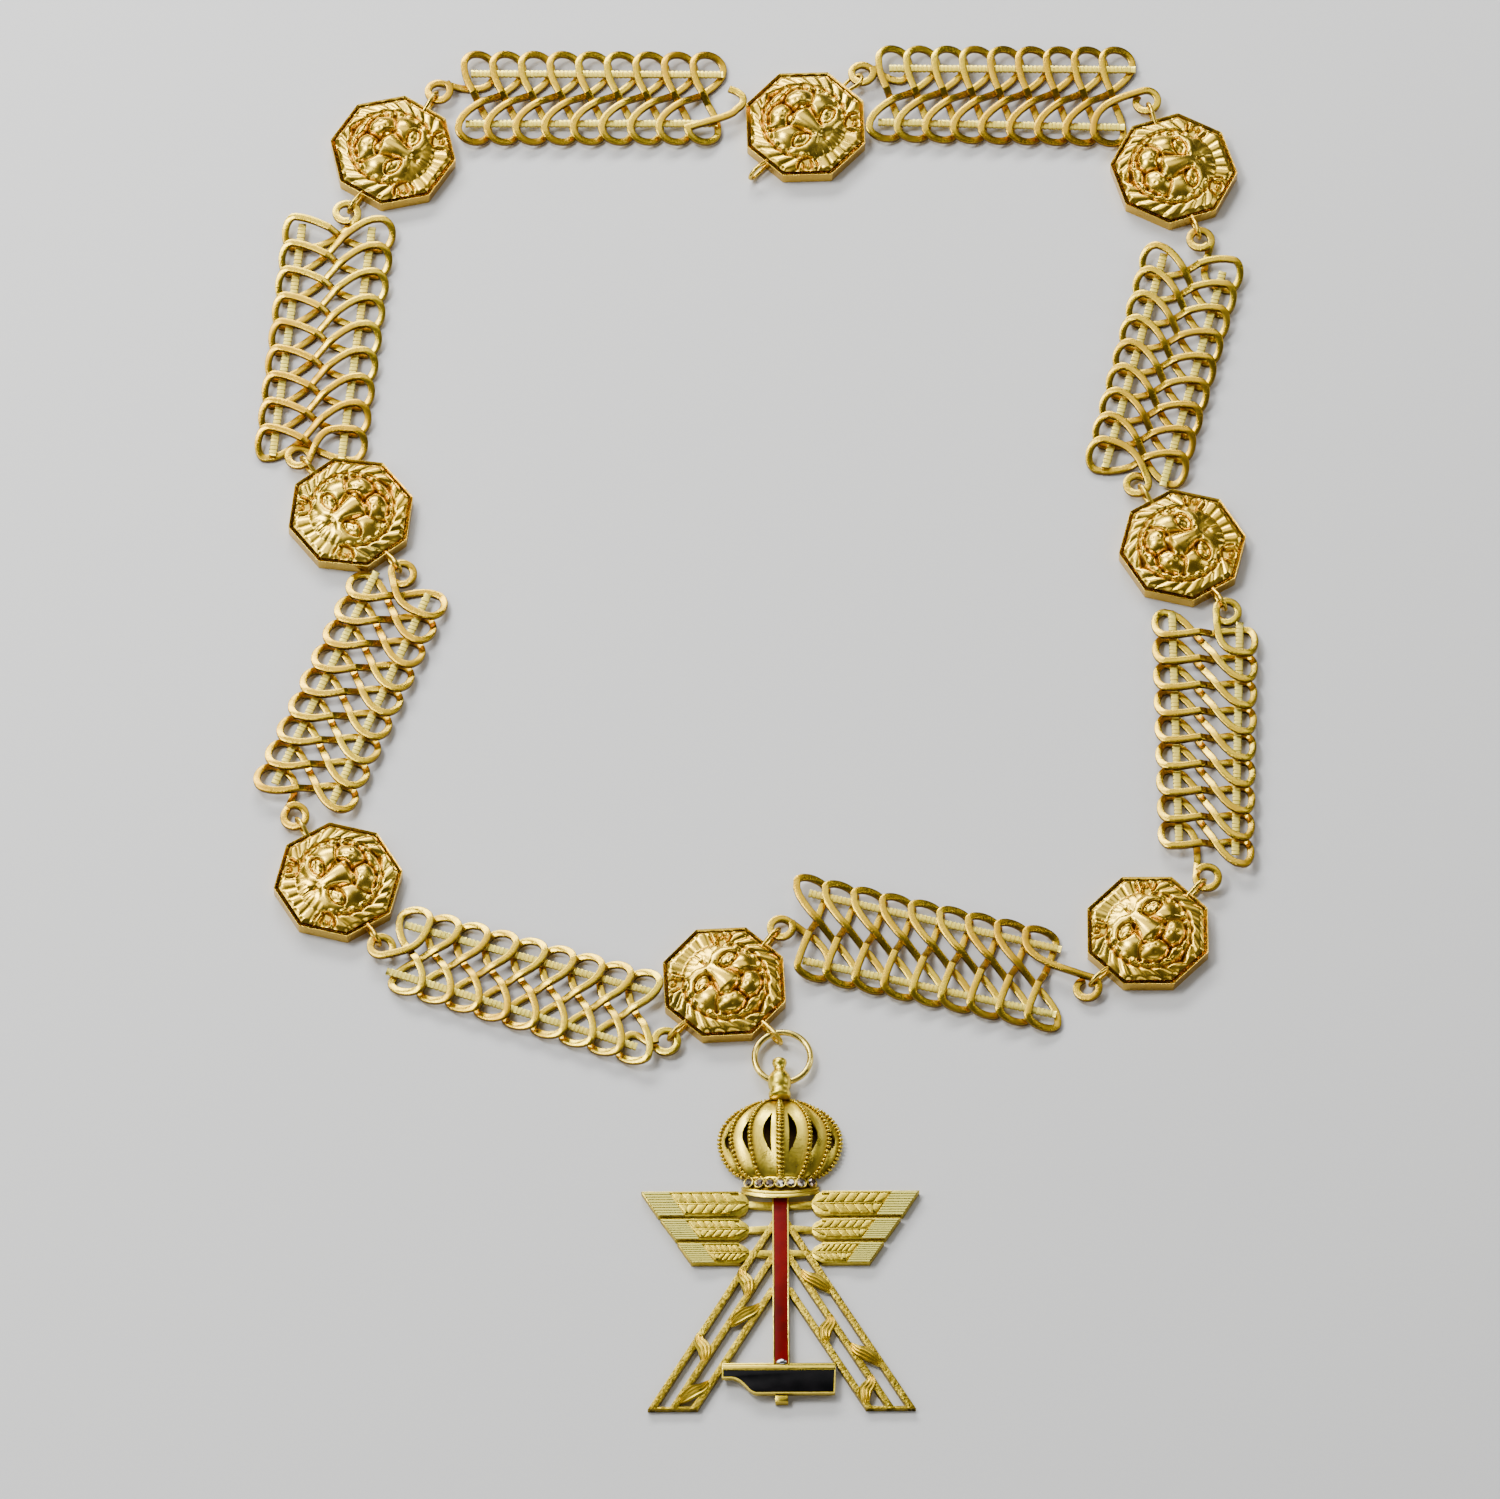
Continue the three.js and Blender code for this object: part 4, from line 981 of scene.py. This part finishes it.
bright_paste = paste("bright paste", (1.0, 0.93, 0.78), (0.16, 0.09, 0.05))
dark_paste = paste("darkened paste", (0.40, 0.27, 0.18), (0.03, 0.015, 0.01))
collars = bmesh.new()
for number in range(1, 8):
    across = (number - 4) * STONE_STEP
    angle = math.asin(across / (BAND_GROOVE + PAVILION))
    high = BAND_GROOVE * BAND_SQUEEZE * math.cos(angle) + PAVILION + GAP
    middle = Vector((across, STONE_Y - FRONT_DROP * high, high))
    lean = Matrix.Translation(middle) @ Matrix.Rotation(angle * 0.55, 4, "Y")
    shape = bmesh.new()
    bmesh.ops.create_cone(shape, cap_ends=True, segments=8, radius1=STONE_RADIUS, radius2=STONE_RADIUS * 0.55,
                          depth=0.55, matrix=lean @ Matrix.Translation((0, 0, 0.28)))
    bmesh.ops.create_cone(shape, cap_ends=False, segments=8, radius1=0.05, radius2=STONE_RADIUS,
                          depth=0.65, matrix=lean @ Matrix.Translation((0, 0, -0.33)))
    bmesh.ops.remove_doubles(shape, verts=shape.verts, dist=0.01)
    bmesh.ops.recalc_face_normals(shape, faces=shape.faces)
    bmesh.ops.transform(shape, matrix=PENDANT_PLACE, verts=shape.verts)
    finish = dark_paste if number in DARK_STONES else bright_paste
    stone = made(shape, f"paste_stone_{number}", finish, sharp=10)
    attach(stone, "root")
    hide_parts(f"crown_stone_{number}")
    hoop = bmesh.new()
    collar_start = (Matrix.Translation((STONE_RADIUS + COLLAR_GAP, 0, 0))
                    @ Matrix.Rotation(math.pi / 2, 4, "X"))
    bmesh.ops.create_circle(hoop, segments=8, radius=COLLAR_WIRE, matrix=collar_start)
    bmesh.ops.spin(hoop, geom=hoop.verts[:] + hoop.edges[:], cent=(0, 0, 0), axis=(0, 0, 1),
                   angle=2 * math.pi, steps=24, use_merge=True)
    bmesh.ops.recalc_face_normals(hoop, faces=hoop.faces)
    bmesh.ops.transform(hoop, matrix=PENDANT_PLACE @ lean, verts=hoop.verts)
    added(collars, hoop)
    hoop.free()
collar_gilt = gold_of_pendant("worn gilding of the collars", 0.3, 0.1)
collar_piece = made(collars, "stone_collars", collar_gilt)
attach(collar_piece, "root")
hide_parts("pendant_body")

# The knob over the crown: a short neck, a bored ball that the ring passes through, and a cap.
KNOB = [(29.6, 0.0), (29.6, 2.5), (30.2, 3.2), (31.2, 3.35), (32.2, 3.0), (32.7, 2.9), (33.4, 3.3),
        (34.6, 3.5), (36.2, 3.45), (37.4, 3.0), (38.4, 2.3), (39.0, 1.9), (39.4, 1.75), (40.2, 1.7),
        (40.8, 2.0), (41.4, 2.2), (42.3, 2.15), (42.8, 1.6), (42.8, 0.0)]
KNOB_HEIGHT = 3.6
# height up the knob, radius, height over the table, length of the cutter
BORE = (35.9, 1.3, 2.9, 14)


def opened(piece, cutters):
    """Cuts holes through a piece with other pieces, which are then thrown away."""
    for cutter in cutters:
        step = piece.modifiers.new("hole", "BOOLEAN")
        step.operation = "DIFFERENCE"
        step.solver = "EXACT"
        step.object = cutter
    bpy.context.view_layer.update()
    whole = piece.evaluated_get(bpy.context.evaluated_depsgraph_get())
    mesh = bpy.data.meshes.new_from_object(whole)
    piece.modifiers.clear()
    piece.data = mesh
    for cutter in cutters:
        bpy.data.objects.remove(cutter)
    return piece


shape = turned(KNOB, 40, 2 * math.pi)
bmesh.ops.remove_doubles(shape, verts=shape.verts, dist=0.001)
bmesh.ops.recalc_face_normals(shape, faces=shape.faces)
bmesh.ops.translate(shape, verts=shape.verts, vec=(0, 0, KNOB_HEIGHT))
knob = made(shape, "crown_knob", pendant_gilt, sharp=45)
bore = bmesh.new()
bmesh.ops.create_cone(bore, cap_ends=True, segments=24, radius1=BORE[1], radius2=BORE[1], depth=BORE[3],
                      matrix=Matrix.Translation((0, BORE[0], BORE[2])) @ Matrix.Rotation(math.pi / 2, 4, "Y"))
knob = opened(knob, [made(bore, "bore", pendant_gilt)])
knob.data.transform(PENDANT_PLACE)
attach(knob, "root")
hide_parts("pendant_body")

# Ears of wheat, three on each side: a flat plate with a smooth edge, two rows of slanting grains
# on a midrib, a polished outer end ruled with fine lines, and a stalk to the handle.
PLATE = 2.2
EARS = [
    # top, bottom, reach of the upper and of the lower corner, start of the ruled end, stalk
    (-0.4, -8.5, 41.2, 36.3, 30.8, -4.9),
    (-9.5, -16.3, 35.6, 31.1, 26.2, -12.3),
    (-17.4, -24.0, 30.6, 26.4, 21.6, -20.7),
]
EAR_START = 9.3
EAR_TIP = 3.0
EAR_EDGE = 0.75
GRAINS = 7
GRAIN_RISE = 0.45
RULES = 9
STALK = 2.2


def raised(shape, outline, low, high, bevel=0.0, segments=2):
    """A flat plate of the given outline between two heights, with its upper edges rounded."""
    part = bmesh.new()
    verts = [part.verts.new((x, y, low)) for x, y in outline]
    face = part.faces.new(verts)
    grown = bmesh.ops.extrude_face_region(part, geom=[face])["geom"]
    bmesh.ops.translate(part, verts=[v for v in grown if isinstance(v, bmesh.types.BMVert)],
                        vec=(0, 0, high - low))
    bmesh.ops.recalc_face_normals(part, faces=part.faces)
    if bevel:
        upper = [edge for edge in part.edges if all(v.co.z > (low + high) / 2 for v in edge.verts)]
        bmesh.ops.bevel(part, geom=upper, affect="EDGES", offset=bevel, segments=segments, profile=0.5,
                        material=-1, clamp_overlap=True)
    added(shape, part)
    part.free()


ear_gilt = gilding(
    "matted gilding of the wheat", (0.92, 0.71, 0.065), (0.74, 0.52, 0.03), (0.16, 0.09, 0.006), 0.32, 0.2,
    speckle=0.3,
)
ruled_gilt = gilding(
    "polished gilding of the ruled ends", (1.0, 0.90, 0.20), (1.0, 0.86, 0.14), (0.26, 0.16, 0.015),
    0.26, 0.01,
)
wheat = bmesh.new()
ends = bmesh.new()
for sign in (1, -1):
    for top, bottom, out_top, out_bottom, ruled, stem in EARS:
        slope = out_top - out_bottom
        ruled_top, ruled_bottom = ruled + slope / 2, ruled - slope / 2
        middle = (top + bottom) / 2
        plate = [
            (sign * EAR_START, middle - 1.1), (sign * EAR_START, middle + 1.1),
            (sign * (EAR_START + EAR_TIP * 0.35), top - 1.1), (sign * (EAR_START + EAR_TIP), top),
            (sign * out_top, top), (sign * out_bottom, bottom),
            (sign * (EAR_START + EAR_TIP), bottom), (sign * (EAR_START + EAR_TIP * 0.35), bottom + 1.1),
        ]
        raised(wheat, plate, 0.05, PLATE, 0.25)
        raised(wheat, [(sign * (EAR_START + EAR_TIP), top), (sign * out_top, top),
                       (sign * (out_top - EAR_EDGE), top - EAR_EDGE),
                       (sign * (EAR_START + EAR_TIP), top - EAR_EDGE)], 1.0, PLATE + 0.5, 0.2)
        pitch = (ruled - EAR_START - 0.8) / GRAINS
        half = (top - bottom) / 2 - EAR_EDGE
        lean = half * 0.75
        for i in range(GRAINS):
            inner = EAR_START + 0.4 + i * pitch
            for side in (1, -1):
                near_y, far_y = middle + side * 0.35, middle + side * half
                a, b = inner + 0.15, inner + pitch - 0.15
                if i == 0:
                    far_y = middle + side * half * 0.75
                grain = [(sign * a, near_y), (sign * b, near_y), (sign * (b + lean * 0.8), far_y),
                         (sign * (a + lean * (0.8 if i else 1.2)), far_y)]
                if b + lean * 0.8 > ruled + side * slope / 2 - 0.3:
                    limit = ruled + side * slope / 2 * 0.9 - 0.3
                    grain[2] = (sign * limit, far_y)
                    grain[3] = (sign * min(a + lean * 0.8, limit - 1.2), far_y)
                    grain[1] = (sign * min(b, ruled - 0.4), near_y)
                raised(wheat, grain, PLATE - 0.3, PLATE + GRAIN_RISE, 0.22, 2)
        raised(wheat, [(sign * (EAR_START + 0.2), middle - 0.22), (sign * (EAR_START + 0.2), middle + 0.22),
                       (sign * (ruled - 0.3), middle + 0.22), (sign * (ruled - 0.3), middle - 0.22)],
               PLATE - 0.3, PLATE + GRAIN_RISE, 0.15)
        raised(wheat, [(0, stem - STALK / 2), (0, stem + STALK / 2), (sign * (EAR_START + 1), middle + 1.0),
                       (sign * (EAR_START + 1), middle - 1.0)], 0.3, PLATE - 0.12, 0.3)
        # Fine ridges over the whole end, cut on the slant at both sides
        step = (top - bottom - 0.3) / RULES
        for i in range(RULES):
            y0 = bottom + 0.15 + i * step
            y1 = y0 + step * 0.78
            share0, share1 = (y0 - bottom) / (top - bottom), (y1 - bottom) / (top - bottom)
            row = [
                (sign * (ruled_bottom + slope * share0), y0),
                (sign * (out_bottom + slope * share0 - 0.2), y0),
                (sign * (out_bottom + slope * share1 - 0.2), y1),
                (sign * (ruled_bottom + slope * share1), y1),
            ]
            raised(ends, row, PLATE - 0.4, PLATE + 0.75, 0.1, 1)
for part, name, finish in ((wheat, "wheat_ears", ear_gilt), (ends, "ruled_ends", ruled_gilt)):
    bmesh.ops.recalc_face_normals(part, faces=part.faces)
    bmesh.ops.transform(part, matrix=PENDANT_PLACE, verts=part.verts)
    piece = made(part, name, finish, sharp=35)
    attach(piece, "root")
    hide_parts("pendant_body")

# Legs: three slanting bars on each side, matted with a fine punch and bright along their edges,
# tied by twisted ribbons with ruled folds, and cut level on one foot line.
FOOT = -71.8
LEG_SLOPE = 0.596
LEG_WIDTH = 2.4
LEGS = [(38.3, -9.0), (32.2, -21.5), (25.9, -32.0)]
FOOT_BAR = [(25.0, 0), (39.3, 0), (38.8, 0.9), (24.6, 0.9)]
RIBBONS = [
    # side, between which bars, height, steep
    (-1, 0, -30.3, True), (-1, 1, -40.9, False), (-1, 0, -51.8, True), (-1, 1, -66.2, False),
    (1, 0, -29.9, False), (1, 1, -45.9, True), (1, 0, -54.0, False), (1, 1, -65.6, True),
]
RIBBON_STEPS = 14
STEEP_RIBBON = [(0.9, 5.2, -0.5), (0.9, 2.4, 0.25), (-0.5, 0, 0.45), (-0.7, -2.4, 0.25), (-0.5, -5.2, -0.5)]
FLAT_RIBBON = [(4.8, -3.4, -0.5), (2.6, -1.7, 0.3), (0, 0.1, 0.5), (-2.4, 1.4, 0.3), (-4.6, 3.7, -0.5)]
FOLDS = [(-1.6, -0.5), (1.6, -0.5), (1.65, -0.1), (1.35, 0.35), (0.95, 0.1), (0.5, 0.5), (0.1, 0.2),
         (-0.35, 0.55), (-0.8, 0.15), (-1.25, 0.35), (-1.65, -0.1)]

leg_gilt = gilding(
    "punched gilding of the legs", (0.62, 0.46, 0.035), (0.46, 0.30, 0.018), (0.12, 0.07, 0.005), 0.36, 0.9,
    speckle=0.75,
)
ribbon_gilt = gold_of_pendant("smooth gilding of the ribbons", 0.30, 0.08)
legs = bmesh.new()
for sign in (1, -1):
    for foot, top in LEGS:
        half = LEG_WIDTH / 2
        upper = foot - LEG_SLOPE * (top - FOOT)
        raised(legs, [(sign * (foot - half), FOOT), (sign * (foot + half), FOOT),
                      (sign * (upper + half), top), (sign * (upper - half), top)], 0.05, PLATE, 0.22)
    raised(legs, [(sign * x, FOOT + y) for x, y in FOOT_BAR], 0.05, PLATE - 0.2, 0.2)
ribbons = bmesh.new()
for side, between, height, steep in RIBBONS:
    outer = LEGS[between][0] - LEG_SLOPE * (height - FOOT)
    inner = LEGS[between + 1][0] - LEG_SLOPE * (height - FOOT)
    middle = Vector((side * (outer + inner) / 2, height, PLATE - 0.15))
    bends = [Vector((side * x, y, z)) for x, y, z in (STEEP_RIBBON if steep else FLAT_RIBBON)]
    line = smooth_line([middle + bend for bend in bends], RIBBON_STEPS // 4)
    count = len(line) - 1
    swells = [(0.3 + 0.7 * math.sin(math.pi * i / count) ** 0.8, 1.0) for i in range(count + 1)]
    folds = [(1.25 * a, 1.2 * b) for a, b in FOLDS]
    drawn(ribbons, line, folds, (0, 0, 1), swells)
bmesh.ops.recalc_face_normals(ribbons, faces=ribbons.faces)
for part, name, finish in ((legs, "leg_bars", leg_gilt), (ribbons, "leg_ribbons", ribbon_gilt)):
    bmesh.ops.transform(part, matrix=PENDANT_PLACE, verts=part.verts)
    piece = made(part, name, finish, sharp=35)
    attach(piece, "root")
    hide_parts("pendant_body")

# The hammer in the middle: a tray-like handle with thin gold edges, and a head with a polished
# bevel along its top and one scooped corner.
HANDLE_TOP = 2.0
HANDLE_BOTTOM = -58.0
HANDLE_HALF = 2.45
HANDLE_EDGE = 0.5
HANDLE_HEIGHT = 3.4
HEAD_LEFT, HEAD_RIGHT, HEAD_TOP, HEAD_BOTTOM = -17.6, 16.0, -57.0, -67.5
SCOOP_TOP = -62.4
HEAD_HEIGHT = 3.6
HEAD_BEVEL = 2.9
HEAD_FRAME = 0.42
HEAD_UNDERCUT = 0.9
POMMEL_HALF = 1.9
POMMEL_FOOT = -69.8


def head_outline(inset, top):
    """The head's outline drawn in from its edge, with the scooped corner at the lower left."""
    left, right, bottom = HEAD_LEFT + inset, HEAD_RIGHT - inset, HEAD_BOTTOM + inset
    scoop, end = SCOOP_TOP + inset, -7.4 + inset * 0.3
    a, b = Vector((left + 2.6, scoop)), Vector((left + 6.4, scoop - 0.4))
    c, d = Vector((end - 2.6, bottom)), Vector((end, bottom))
    line = [(left, top), (left, scoop)]
    for i in range(13):
        t = i / 12
        p = (1 - t) ** 3 * a + 3 * (1 - t) ** 2 * t * b + 3 * (1 - t) * t * t * c + t ** 3 * d
        line.append((p.x, p.y))
    return [*line, (right - 0.3, bottom), (right, top)]


smooth_gilt = gold_of_pendant("polished gilding of the hammer", 0.2, 0.06)
hammer = bmesh.new()
for sign in (1, -1):
    raised(hammer, [(sign * (HANDLE_HALF - HANDLE_EDGE), HANDLE_BOTTOM), (sign * HANDLE_HALF, HANDLE_BOTTOM),
                    (sign * HANDLE_HALF, HANDLE_TOP), (sign * (HANDLE_HALF - HANDLE_EDGE), HANDLE_TOP)],
           0.05, HANDLE_HEIGHT, 0.18)
raised(hammer, [(-HANDLE_HALF, HANDLE_BOTTOM), (HANDLE_HALF, HANDLE_BOTTOM), (HANDLE_HALF, HANDLE_TOP),
                (-HANDLE_HALF, HANDLE_TOP)], 0.05, PLATE)
raised(hammer, head_outline(HEAD_UNDERCUT, HEAD_TOP), 0.05, PLATE, 0.1)
outer, inner = head_outline(0, HEAD_TOP - 1), head_outline(HEAD_FRAME, HEAD_TOP - HEAD_BEVEL)
for i in range(len(outer) - 1):
    raised(hammer, [outer[i], outer[i + 1], inner[i + 1], inner[i]], PLATE - 0.1, HEAD_HEIGHT, 0.0)
raised(hammer, [(HEAD_LEFT, HEAD_TOP), (HEAD_RIGHT, HEAD_TOP), (HEAD_RIGHT, HEAD_TOP - 1.3),
                (HEAD_LEFT, HEAD_TOP - 1.3)], 1.0, HEAD_HEIGHT - 0.7, 0.45, 3)
raised(hammer, [(HEAD_LEFT, HEAD_TOP - 1.15), (HEAD_RIGHT, HEAD_TOP - 1.15),
                (HEAD_RIGHT, HEAD_TOP - HEAD_BEVEL), (HEAD_LEFT, HEAD_TOP - HEAD_BEVEL)],
       1.0, HEAD_HEIGHT + 0.1, 0.35, 3)
raised(hammer, [(-POMMEL_HALF, POMMEL_FOOT), (POMMEL_HALF, POMMEL_FOOT), (POMMEL_HALF, HEAD_BOTTOM + 1),
                (-POMMEL_HALF, HEAD_BOTTOM + 1)], 0.2, PLATE + 0.6, 0.3)
bmesh.ops.transform(hammer, matrix=PENDANT_PLACE, verts=hammer.verts)
hammer_piece = made(hammer, "hammer_body", smooth_gilt, sharp=35)
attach(hammer_piece, "root")
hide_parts("pendant_body")

# A bright drop of solder closes the foot of the handle where it meets the head. It was left
# ungilt, so it is grey against the gold.
solder = Finish("bare solder")
solder_finish = solder.surface(
    Base_Color=solder.mixed(solder.noise(900.0), (0.80, 0.80, 0.82), (0.55, 0.54, 0.56)),
    Metallic=1.0,
    Roughness=0.25,
    Normal=solder.bump(solder.noise(1500.0), 0.0002, 0.5),
)
DROP_PLACE = (0, -57.1, HANDLE_HEIGHT - 0.1)
DROP_SIZE = (1.6, 1.0, 0.7, 1)
shape = bmesh.new()
bmesh.ops.create_uvsphere(shape, u_segments=20, v_segments=12, radius=1,
                          matrix=Matrix.Translation(DROP_PLACE) @ Matrix.Diagonal(DROP_SIZE))
bmesh.ops.transform(shape, matrix=PENDANT_PLACE, verts=shape.verts)
drop = made(shape, "solder_drop", solder_finish)
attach(drop, "root")
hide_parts("pendant_body")


# The enamel fillings: deep red glass in the handle and black in the head, ground a little hollow
# and fire polished, with faint clouding and pin holes.
ENAMEL_FOOT = -57.4
ENAMEL_SINK = 0.12


def enamel(name, colour, depth, roughness):
    glass = Finish(name)
    cloud = glass.spread(glass.noise(170.0, 3.0), 0.35, 0.7)
    pin = glass.spread(glass.noise(1700.0, 2.0), 0.70, 0.78)
    tone = glass.mixed(cloud, colour, depth)
    return glass.surface(
        Base_Color=glass.mixed(pin * 0.5, tone, depth),
        Roughness=glass.spread(cloud, 0, 1, roughness, roughness + 0.1),
        Normal=glass.bump(cloud * 0.3 - pin * 0.3, 0.00006, 0.3),
        Specular_IOR_Level=0.07,
        Coat_Weight=0.02,
        Coat_Roughness=0.1,
    )


red_glass = enamel("red enamel", (0.22, 0.004, 0.004), (0.12, 0.002, 0.002), 0.3)
black_glass = enamel("black enamel", (0.003, 0.003, 0.0035), (0.007, 0.006, 0.007), 0.3)
fillings = [
    ("red_filling", red_glass, "red_enamel", "handle_enamel",
     [(-HANDLE_HALF + HANDLE_EDGE, ENAMEL_FOOT), (HANDLE_HALF - HANDLE_EDGE, ENAMEL_FOOT),
      (HANDLE_HALF - HANDLE_EDGE, HANDLE_TOP - 1), (-HANDLE_HALF + HANDLE_EDGE, HANDLE_TOP - 1)],
     HANDLE_HEIGHT - 0.15),
    ("black_filling", black_glass, "black_enamel", "head_enamel",
     head_outline(HEAD_FRAME, HEAD_TOP - HEAD_BEVEL), HEAD_HEIGHT - ENAMEL_SINK),
]
for name, finish, slot, node, outline, height in fillings:
    shape = bmesh.new()
    raised(shape, outline, PLATE + 0.02, height, 0.12)
    bmesh.ops.transform(shape, matrix=PENDANT_PLACE, verts=shape.verts)
    filling = made(shape, name, finish, sharp=35)
    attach(filling, "root")
    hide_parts(node)
